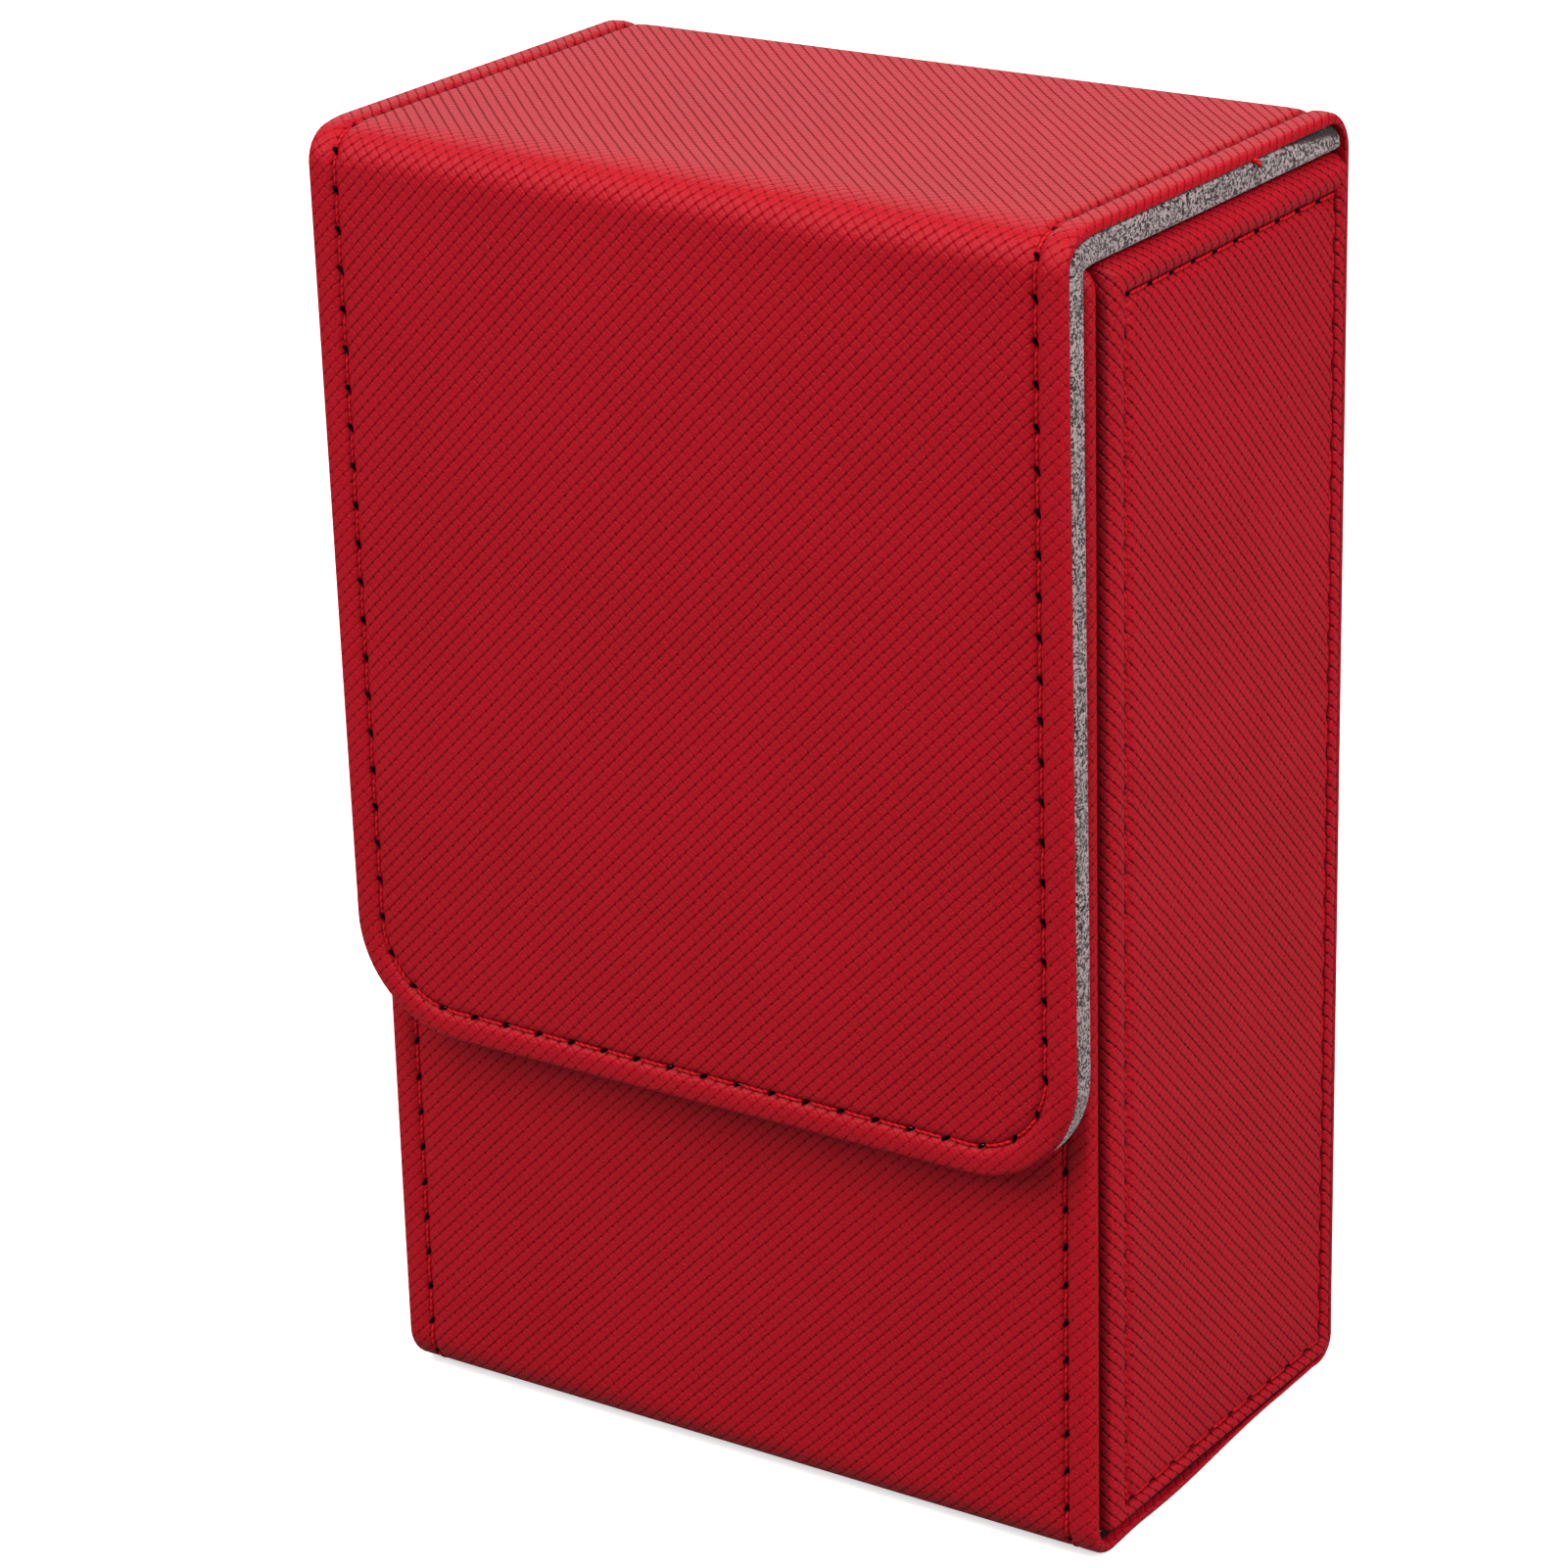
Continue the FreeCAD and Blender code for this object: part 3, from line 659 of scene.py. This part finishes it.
def fibre_material():
    """Grey microfibre: short speckled pile, with a line of painted shade just inside its edges."""
    shader = Shader("grey_microfibre")
    vector = shader.uv_mm()[0]
    made = shader.tree.nodes.new("ShaderNodeTexVoronoi")
    shader.give(made.inputs["Vector"], vector)
    made.inputs["Scale"].default_value = 5.0
    cells = made.outputs["Color"]
    coarse = shader.noise(vector, 1.4, 1.0)
    cloud = shader.noise(vector, 0.12, 2.0)
    speckle = shader.between(shader.total(cells, shader.product(coarse, 0.5)), 0.58, 0.91)
    colour = shader.blend(speckle, FIBRE_DARK, FIBRE_LIGHT)
    colour = shader.blend(shader.between(cloud, 0.3, 0.7, 0.0, 0.2), colour, FIBRE_MIDDLE)
    # Painted shade: a black line just inside every edge, for the gaps along the pad's edges; the wall linings
    # get it too.
    inset_mm = shader.attribute("inset")
    into_painted_shade = shader.between(inset_mm, 0.06, 0.3, 0.0, 0.92)
    out_of_painted_shade = shader.between(inset_mm, 0.5, 1.1, 1.0, 0.0)
    colour = shader.blend(shader.product(into_painted_shade, out_of_painted_shade), colour, PAINTED_SHADE_BLACK)
    shader.bump(shader.product(speckle, 0.12))
    return shader.finish(
        Base_Color=colour, Roughness=0.95, Specular_IOR_Level=0.1, Sheen_Weight=0.2, Sheen_Roughness=0.5
    )


def thread_material():
    """Red polyester thread, three plies twisted together."""
    shader = Shader("red_thread")
    vector, u, v = shader.uv_mm()
    twist = shader.total(shader.product(u, 1.3), v)
    plies = shader.maths("ABSOLUTE", shader.maths("SINE", shader.product(twist, math.pi)))
    fuzz = shader.noise(vector, 3.0, 2.0)
    shade = shader.total(shader.product(plies, 0.7), shader.product(fuzz, 0.5))
    colour = shader.blend(shade, THREAD_DARK, THREAD_LIGHT)
    shader.bump(shader.product(plies, 0.09))
    return shader.finish(Base_Color=colour, Roughness=0.6, Specular_IOR_Level=0.12)


def board_material():
    """Grey paper board with flecks, on carried-over parts, which have no UV map."""
    shader = Shader("greyboard")
    made = shader.tree.nodes.new("ShaderNodeTexCoord")
    flecks = shader.noise(made.outputs["Object"], 900.0, 4.0)
    cloud = shader.noise(made.outputs["Object"], 60.0, 2.0)
    shade = shader.total(flecks, shader.product(cloud, 0.3), -0.2)
    colour = shader.blend(shade, (0.16, 0.145, 0.125, 1), (0.42, 0.39, 0.34, 1))
    shader.bump(shader.product(flecks, 0.03))
    return shader.finish(Base_Color=colour, Roughness=0.9)


def magnet_material():
    """Nickel plating, slightly brushed."""
    shader = Shader("nickel")
    made = shader.tree.nodes.new("ShaderNodeTexCoord")
    brushed = shader.noise(made.outputs["Object"], 1500.0, 3.0)
    colour = shader.blend(brushed, (0.52, 0.51, 0.49, 1), (0.72, 0.71, 0.68, 1))
    roughness = shader.between(brushed, 0.2, 0.8, 0.22, 0.4)
    return shader.finish(Base_Color=colour, Metallic=1.0, Roughness=roughness)


LEATHER = leather_material(
    "red_leather", (LEATHER_DARK, LEATHER_LIGHT), 1.0, needle=(0.28, 0.50, 0.45), rising_depth=0.60,
    band_depth=0.75, seam=(0.75, 0.0, 0.40, 0.45), rim_shade=0.0,
)
# The side panels get painted shade on their rims, where the edge turns away into the gap beside the wrap.
SIDE_LEATHER = leather_material(
    "red_leather_side", (SIDE_DARK, SIDE_LIGHT), 0.96, needle=(0.16, 0.80, 0.0), rising_depth=0.63,
    band_depth=1.0, seam=(0.85, 0.1, 0.50, 0.85), rim_shade=0.6,
)
FIBRE = fibre_material()
THREAD = thread_material()
BOARD = board_material()
NICKEL = magnet_material()


# ---------------------------------------------------------------- the wrap
def wrap_depth(s):
    """How deep the wrap's side edge is: hemmed up the front, thinner under the floor and everywhere else."""
    places = (FRONT_END, FLOOR_START + 6, FLOOR_END - 6, BACK_START + 4)
    return np.interp(s, places, (HEM, 1.0, 0.5, SHEET + 0.05))


def wrap_curl(s, d):
    """The floor's side edges curl up into the slot under the side panels, most at the back."""
    along = smooth(s, FLOOR_START - 2, FLOOR_START + 6) * (1 - smooth(s, FLOOR_END, BACK_START))
    slope = (s - FLOOR_START) / FLOOR_LENGTH
    curl = FLOOR_CURL[0] + FLOOR_CURL[1] * smooth(slope, 0.15, 0.8)
    return -along * curl * (1 - smooth(d, 0, SEAM))


def wrap_lift(s):
    """1 where the wrap may swell, 0 under the floor, which stays flat to stand on."""
    return 1 - smooth(s, FRONT_END - 4, FLOOR_START) + smooth(s, FLOOR_END, BACK_START + 4)


def wrap_relief(u, s, d, t):
    """The seam's relief, which can't swell under the floor, and the floor's curled edges."""
    height = seam_relief(d, t)
    lift = wrap_lift(s)
    return np.where(height > 0, height * lift, height * np.maximum(lift, 0.6)) + wrap_curl(s, d)


def wrap_swell(u, s):
    """The padding under the flap, a trace over the boards, and a slight sag across the lid."""
    crown = 1 - (u / HALF_WIDTH) ** 2
    on_flap = smooth(s, FLAP_START, FLAP_START + 12) * (1 - smooth(s, WRAP.length - 16, WRAP.length))
    on_wall = smooth(s, 0, 12) * (1 - smooth(s, FRONT_END - 16, FRONT_END))
    on_back = smooth(s, BACK_START, BACK_START + 16) * (1 - smooth(s, HINGE_START - 16, HINGE_START))
    on_lid = smooth(s, LID_START - 4, LID_START + 6) * (1 - smooth(s, LID_END - 8, LID_END))
    return crown * (PADDING * (on_flap + on_wall + on_back) - LID_SAG * on_lid)


def wrap_place(u, s, h):
    """Where a point of the wrap is. The front wall is a trace narrower than the flap that covers it."""
    narrower = FRONT_TUCK * (1 - smooth(s, FLOOR_START - 2, FLOOR_START + 16))
    return WRAP.place(u * (1 - narrower / HALF_WIDTH), s, h)


def wrap_sink(s):
    """How deep the thread lies, in thread radii: buried on the back and lid, sunk down the flap's sides."""
    on_lid = smooth(s, FLOOR_END, BACK_START) * (1 - smooth(s, LID_END - 1, LID_END + 2))
    down_flap = smooth(s, LID_END, LID_END + 6) * (1 - smooth(s, WRAP.length - 12, WRAP.length - 6))
    return 0.4 + 1.7 * on_lid + 0.6 * down_flap


def wrap_lay(s):
    """Which family of grooves lies deeper: the falling one on the lid, the rising one elsewhere."""
    return smooth(s, LID_START - 6, LID_START) * (1 - smooth(s, LID_END - 4, LID_END + 6))


def wrap_piece(name, v_span, free, radius, reach):
    """A stretch of the wrap. Where its corners are wide, rings further in make room for them."""

    def edge(depth):
        rings = leather_edge(depth)
        if reach > FACE_REACH:
            further_in = [(reach, 0, FACE), (reach * 0.75, 0, FACE)]
            return further_in + rings[:-1] + [(reach, -SHEET, BACKSIDE)]
        return rings

    return panel(
        name, wrap_place, (-HALF_WIDTH, HALF_WIDTH), v_span, edge, LEATHER, reach=reach, free=free,
        radius=radius, depth=wrap_depth, relief=wrap_relief, swell=wrap_swell, lay=wrap_lay,
    )


def joint_span(angle, before, after):
    """Points before and after the rear hinge's crease at that angle round its bend, along the bend."""
    radius = HINGE_RADIUS - SHEET * 0.4
    crease = Vector((0, lid_high.y + radius * math.cos(angle), body_high.z + radius * math.sin(angle)))
    along = Vector((0, -math.sin(angle), math.cos(angle)))
    return (crease - along * before) * MM, (crease + along * after) * MM


def fold_span():
    """Two points round the front fold, a little later along it than the CAD fold's start and end."""
    centre = Vector((0, lid_low.y, flap_high.z))
    onward = Vector((0, -1, -1)).normalized()
    start = centre + Vector((0, 0, FOLD_RADIUS)) + onward * FOLD_LATE[0]
    end = centre + Vector((0, -FOLD_RADIUS, 0)) + onward * FOLD_LATE[1]
    return start * MM, end * MM


CREASE_ANGLES = (math.radians(15), math.radians(75))
CREASE_OUTSIDE = 2.8
CREASE_REACH = 0.5 * (HINGE_RADIUS - SHEET - 0.15)
LOWER_CREASE = joint_span(CREASE_ANGLES[0], CREASE_OUTSIDE, CREASE_REACH)
UPPER_CREASE = joint_span(CREASE_ANGLES[1], CREASE_REACH, CREASE_OUTSIDE)
FRONT_FOLD = fold_span()


def bend(piece, bodies, span):
    """Bakes a piece's placement into its mesh and leaves it unparented."""
    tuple(span[0])
    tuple(span[1])
    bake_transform(piece)


def build_stretch(part, v_span, nodes, thread_node, bodies, span=None, end_radius=0, reach=FACE_REACH):
    """A stretch of the wrap and its thread, on one body, or, where a span is given, with its placement baked
    in and left unparented. A rounded end is a free one.
    """
    free = (False, end_radius > 0)
    leather, seams = wrap_piece("wrap_" + part, v_span, free, (0, end_radius), reach)
    thread = stitched("thread_" + part, seams, wrap_place, THREAD, sink=wrap_sink)
    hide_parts(*nodes)
    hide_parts(thread_node)
    for piece in (leather, thread):
        if span:
            bend(piece, bodies, span)
        else:
            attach(piece, bodies[0])


def build_wrap():
    build_stretch(
        "front", (FLOOR_MIDDLE, 0), ["body_cover"], "body_thread", ["box"], end_radius=RIM_CORNER,
    )
    build_stretch(
        "back", (FLOOR_MIDDLE, HINGE_MIDDLE), ["body_cover"], "body_thread", ["box", "rear_hinge"],
        LOWER_CREASE,
    )
    build_stretch(
        "lid", (HINGE_MIDDLE, LID_MIDDLE), ["rear_hinge_cover", "lid_cover"], "lid_thread",
        ["rear_hinge", "lid"], UPPER_CREASE,
    )
    build_stretch(
        "flap", (LID_MIDDLE, WRAP.length), ["front_fold_cover", "flap_cover"], "flap_thread",
        ["lid", "flap"], FRONT_FOLD, end_radius=FLAP_CORNER, reach=FLAP_CORNER,
    )


# ---------------------------------------------------------------- the side panels
def build_side(side, sign):
    """A stitched panel let in between the front and back walls, with wider bands in front and on top."""
    bands = (
        side_thread_low.y - wall_low.y,
        wall_high.y - side_thread_high.y,
        side_thread_low.z - wall_low.z,
        wall_high.z - side_thread_high.z,
    )
    share = [(band + CAD_THREAD) / SEAM for band in bands]

    def place(u, v, h):
        return np.stack((sign * (HALF_WIDTH + h), u, v), axis=-1) * MM

    def edge(depth):
        return leather_edge(np.full(len(depth), wall_high.x - wall_low.x), 1.2)

    def relief(u, v, d, t):
        proud = SIDE_PROUD[0] + SIDE_PROUD[1] * smooth(v, wall_high.z - 5, wall_high.z - 3.5)
        return seam_relief(d, t) + proud * np.sin(np.pi * np.clip(d / SEAM, 0, 1)) ** 2

    def swell(u, v):
        across = np.sin(np.pi * np.clip((u - wall_low.y) / (wall_high.y - wall_low.y), 0, 1))
        upright = np.sin(np.pi * np.clip((v - wall_low.z) / (wall_high.z - wall_low.z), 0, 1))
        return SIDE_CROWN * across * upright

    cover, seams = panel(
        side + "_side_panel", place, (wall_low.y, wall_high.y), (wall_low.z, wall_high.z), edge,
        SIDE_LEATHER, share=share, radius=(1.0, 1.2), relief=relief, swell=swell,
    )
    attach(cover, "box")
    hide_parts(side + "_side_cover")
    thread = stitched(side + "_side_stitches", seams, place, THREAD, sink=0.5)
    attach(thread, "box")
    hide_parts(side + "_side_thread")


# ---------------------------------------------------------------- the grey linings
PAD_REAR = lid_high.y + 2.9
PAD_INSET = 0.12
PAD_FORWARD, PAD_DOWN = fold_reach(PAD_FOLD)
PAD_PATH = Path(
    (PAD_REAR, lid_high.z),
    math.pi,
    (
        (PAD_REAR - lid_low.y + FOLD_RADIUS - PAD_FORWARD, *front_fold(PAD_FOLD)[0]),
        (0, *front_fold(PAD_FOLD)[1]),
        (flap_high.z - flap_low.z + FOLD_RADIUS - PAD_DOWN - PAD_INSET, 0, 0),
    ),
)


def build_pad():
    """The padded lining of the lid and the flap, in one strip, and its stitches on the inner face."""
    inner_face = -(SHEET + PAD_THICKNESS)
    clear_of_leather = 0.05

    def place(u, v, h):
        return PAD_PATH.place(u, v, inner_face - h)

    def leather_rounding(v):
        """Tapered at the rear end, where the pad runs out under the hinge."""
        return 0.55 + 1.65 * (1 - smooth(v, 1.5, 4.0))

    def relief(u, v, d, t):
        """The stitches pull the seam in, except near the rear end, which has none."""
        line = np.exp(-(((d - SEAM) / 0.6) ** 2)) * smooth(v, 6, 9)
        return -0.25 * line

    edge = soft_edge(FLAP_CORNER, 0.40, leather_rounding, PAD_THICKNESS - clear_of_leather)
    half = HALF_WIDTH - PAD_INSET
    pad, seams = panel(
        "pad_lining", place, (-half, half), (0, PAD_PATH.length), edge, FIBRE, reach=FLAP_CORNER,
        radius=(1.2, FLAP_CORNER - PAD_INSET), relief=relief,
    )
    bend(pad, ("lid", "flap"), FRONT_FOLD)
    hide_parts("lid_lining", "front_fold_lining", "flap_lining")
    thread = stitched(
        "pad_stitches", seams, place, THREAD, keep=lambda u, v: v.min() > 9, radius=0.2, sink=0.4,
    )
    bend(thread, ("lid", "flap"), FRONT_FOLD)


def build_wall_linings():
    """Microfibre on the five inner faces of the box."""
    reach = 3.0
    edge = soft_edge(reach, 0.34, 0.1, lining_high.y - lining_low.y)
    half = back_lining_high.x
    upright = (lining_low.z, lining_high.z)
    inside = (lining_high.y, back_lining_low.y)

    def facing(depth, out, order):
        """A place function for a flat sheet at that depth. order says which of u, v and n is x, y and z."""

        def place(u, v, h):
            parts = {"u": u, "v": v, "n": depth + out * h}
            return np.stack([parts[key] for key in order], axis=-1) * MM

        return place

    def quilt(u, v):
        return 0.10 * np.sin(u * 0.21 + 1.0) * np.sin(v * 0.13 + 0.5)

    sheets = (
        ("front_wall_lining", "front_lining", (-half, half), upright, lining_high.y, 1, "unv"),
        ("back_wall_lining", "back_lining", (-half, half), upright, back_lining_low.y, -1, "unv"),
        ("right_wall_lining", "right_side_lining", inside, upright, side_lining_low.x, -1, "nuv"),
        ("left_wall_lining", "left_side_lining", inside, upright, -side_lining_low.x, 1, "nuv"),
        ("floor_lining", "bottom_lining", (-half, half), inside, floor_lining_high.z, 1, "uvn"),
    )
    for name, node, u_span, v_span, depth, out, order in sheets:
        sheet = panel(
            name, facing(depth, out, order), u_span, v_span, edge, FIBRE, reach=reach, radius=(0.8, 0.8),
            step=(3.0, 3.0), swell=quilt,
        )[0]
        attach(sheet, "box")
        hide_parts(node)


def build_hinge_lining():
    """Thin lining that leaves the back wall over its board's edge and lines the rear hinge, in two pieces."""
    half_thickness = 0.06
    leather_gap = SHEET + 0.03 + half_thickness
    radius = HINGE_RADIUS - leather_gap
    small = 0.4
    reach = 1.4
    half = back_board_high.x
    over = back_board_high.z + 0.35
    start = (back_lining_low.y + 0.35, back_board_low.z + 110)
    shelf_end = BACK - leather_gap - small
    runs = (
        (over - small - start[1], small, -QUARTER),
        (shelf_end - start[0] - small, small, QUARTER),
        (body_high.z - over - small, radius, QUARTER),
    )
    path = Path(start, QUARTER, runs)
    arc_start = path.length - radius * QUARTER
    middle = arc_start + radius * QUARTER / 2
    end = arc_start + radius * QUARTER * 0.60
    edge = soft_edge(reach, 0.1, 0.1, 2 * half_thickness)

    def place(u, v, h):
        return path.place(u, v, half_thickness + h)

    for name, v_span, bodies, span in (
        ("hinge_lining_lower", (0, middle), ("box", "rear_hinge"), LOWER_CREASE),
        ("hinge_lining_upper", (middle, end), ("rear_hinge", "lid"), UPPER_CREASE),
    ):
        strip = panel(
            name, place, (-half, half), v_span, edge, FIBRE, reach=reach, free=(False, False),
            step=(3.0, 0.3),
        )[0]
        bend(strip, bodies, span)
        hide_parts("rear_hinge_lining")


def build_thread_end():
    """The loose end of the lid's thread, caught between leather and pad on the right edge."""
    radius = 0.24
    length = 1.6
    taper = (1, 1, 1, 1, 1.05, 1.0, 0.6)
    t = np.linspace(0, 1, len(taper))[:, None]
    leaves = np.array((HALF_WIDTH - 0.3, 4.9, lid_low.z + 0.05))
    knee = leaves + (0.75, 0.25, 0.0)
    tip = leaves + (0.55, 0.55, -0.75)
    centres = (1 - t) ** 2 * leaves + 2 * t * (1 - t) * knee + t ** 2 * tip
    ahead = np.gradient(centres, axis=0)
    ahead /= np.linalg.norm(ahead, axis=1)[:, None]
    across = np.cross(ahead, (0, 1, 0.3))
    across /= np.linalg.norm(across, axis=1)[:, None]
    third = np.cross(ahead, across)
    around = np.linspace(0, 2 * np.pi, 9)[:-1]
    thick = radius * np.array(taper)[:, None, None]
    beside = np.cos(around)[None, :, None] * across[:, None, :]
    above = np.sin(around)[None, :, None] * third[:, None, :]
    points = (centres[:, None, :] + thick * (beside + above)).reshape(-1, 3) * MM
    index = grid(0, len(t), len(around))
    run = np.broadcast_to(t * length, index.shape)
    turn = np.broadcast_to(around / (2 * np.pi), index.shape)
    layers = {"uv": np.stack((run.ravel(), turn.ravel()), axis=1)}
    piece = finish_mesh("thread_end", points, tube(index), layers, THREAD, sharp=70)
    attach(piece, "lid")


def dress_hidden_parts():
    """Boards and magnets keep their exact shapes and get their own finishes."""
    finishes = {"board": BOARD, "magnets": NICKEL}
    for name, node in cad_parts.items():
        finish = finishes.get(name.rpartition("_")[2])
        if finish:
            node.data.materials.clear()
            node.data.materials.append(finish)


# ---------------------------------------------------------------- studio
def floor_material():
    """Pale and slightly mottled, and close to white where the camera sees it directly."""
    shader = Shader("pale_floor")
    made = shader.tree.nodes.new("ShaderNodeTexCoord")
    mottle = shader.noise(made.outputs["Object"], 14.0, 3.0)
    pale = shader.blend(mottle, (0.86, 0.86, 0.86, 1), (0.92, 0.92, 0.92, 1))
    seen = shader.add("LightPath")
    colour = shader.blend(seen, (0.22, 0.22, 0.22, 1), pale)
    return shader.finish(
        Base_Color=colour, Roughness=0.8, Specular_IOR_Level=0.1, Emission_Color=(1, 1, 1, 1),
        Emission_Strength=shader.product(seen, 0.55),
    )


def build_floor():
    """A large floor, just under the lowest stitch."""
    half = 3.0
    mesh = bpy.data.meshes.new("floor")
    corners = [(-half, -half, 0), (half, -half, 0), (half, half, 0), (-half, half, 0)]
    mesh.from_pydata(corners, [], [(0, 1, 2, 3)])
    mesh.materials.append(floor_material())
    floor = bpy.data.objects.new("floor", mesh)
    bpy.context.scene.collection.objects.link(floor)
    floor.location.z = -0.0003


def softbox(name, azimuth, elevation, distance, size, power):
    """A rectangular light aimed at the middle of the box. Azimuth 0 is in front of it, 90 to its right."""
    target = Vector((0, 0, lid_high.z / 2 * MM))
    across = math.radians(azimuth)
    up = math.radians(elevation)
    way = Vector((math.sin(across) * math.cos(up), -math.cos(across) * math.cos(up), math.sin(up)))
    light = bpy.data.lights.new(name, "AREA")
    light.shape = "RECTANGLE"
    light.size, light.size_y = size
    light.energy = power
    lamp = bpy.data.objects.new(name, light)
    lamp.location = target + way * distance
    lamp.rotation_euler = way.to_track_quat("Z", "Y").to_euler()
    lamp.visible_camera = False
    bpy.context.scene.collection.objects.link(lamp)


def build_light():
    """Four soft boxes, and a world that is white to the camera and dim to everything else."""
    softbox("key", azimuth=-28, elevation=44, distance=1.2, size=(1.1, 1.0), power=16.5)
    softbox("fill", azimuth=82, elevation=38, distance=1.2, size=(0.9, 0.8), power=16)
    softbox("overhead", azimuth=0, elevation=88, distance=1.3, size=(0.8, 0.8), power=4)
    softbox("backdrop", azimuth=215, elevation=24, distance=1.4, size=(1.8, 0.7), power=4.8)
    world = bpy.data.worlds.new("studio")
    world.use_nodes = True
    background = world.node_tree.nodes["Background"]
    path = world.node_tree.nodes.new("ShaderNodeLightPath")
    strength = world.node_tree.nodes.new("ShaderNodeMapRange")
    strength.inputs["To Min"].default_value = 0.08
    strength.inputs["To Max"].default_value = 1.0
    world.node_tree.links.new(path.outputs["Is Camera Ray"], strength.inputs["Value"])
    world.node_tree.links.new(strength.outputs["Result"], background.inputs["Strength"])
    background.inputs["Color"].default_value = (1, 1, 1, 1)
    bpy.context.scene.world = world
    bpy.context.scene.view_settings.view_transform = "Standard"


def build_camera():
    """Above and to the right of the front, with a long lens and a trace of roll."""
    azimuth = math.radians(34.098)
    elevation = math.radians(21.348)
    roll = math.radians(-1.5166)
    stand = Vector((259.72, -395.96, 248.98)) * MM
    away = Vector((
        math.sin(azimuth) * math.cos(elevation), -math.cos(azimuth) * math.cos(elevation), math.sin(elevation)
    ))
    level = (-away).cross(Vector((0, 0, 1))).normalized()
    upright = level.cross(-away)
    right = math.cos(roll) * level + math.sin(roll) * upright
    up = math.cos(roll) * upright - math.sin(roll) * level
    lens = bpy.data.cameras.new("camera")
    lens.lens = 119.50
    lens.sensor_width = 36
    camera = bpy.data.objects.new("camera", lens)
    turned = Matrix((right, up, away)).transposed().to_4x4()
    camera.matrix_world = Matrix.Translation(stand) @ turned
    bpy.context.scene.collection.objects.link(camera)
    bpy.context.scene.camera = camera


build_wrap()
build_side("right", 1)
build_side("left", -1)
build_pad()
build_wall_linings()
build_hinge_lining()
build_thread_end()
dress_hidden_parts()
build_floor()
build_light()
build_camera()
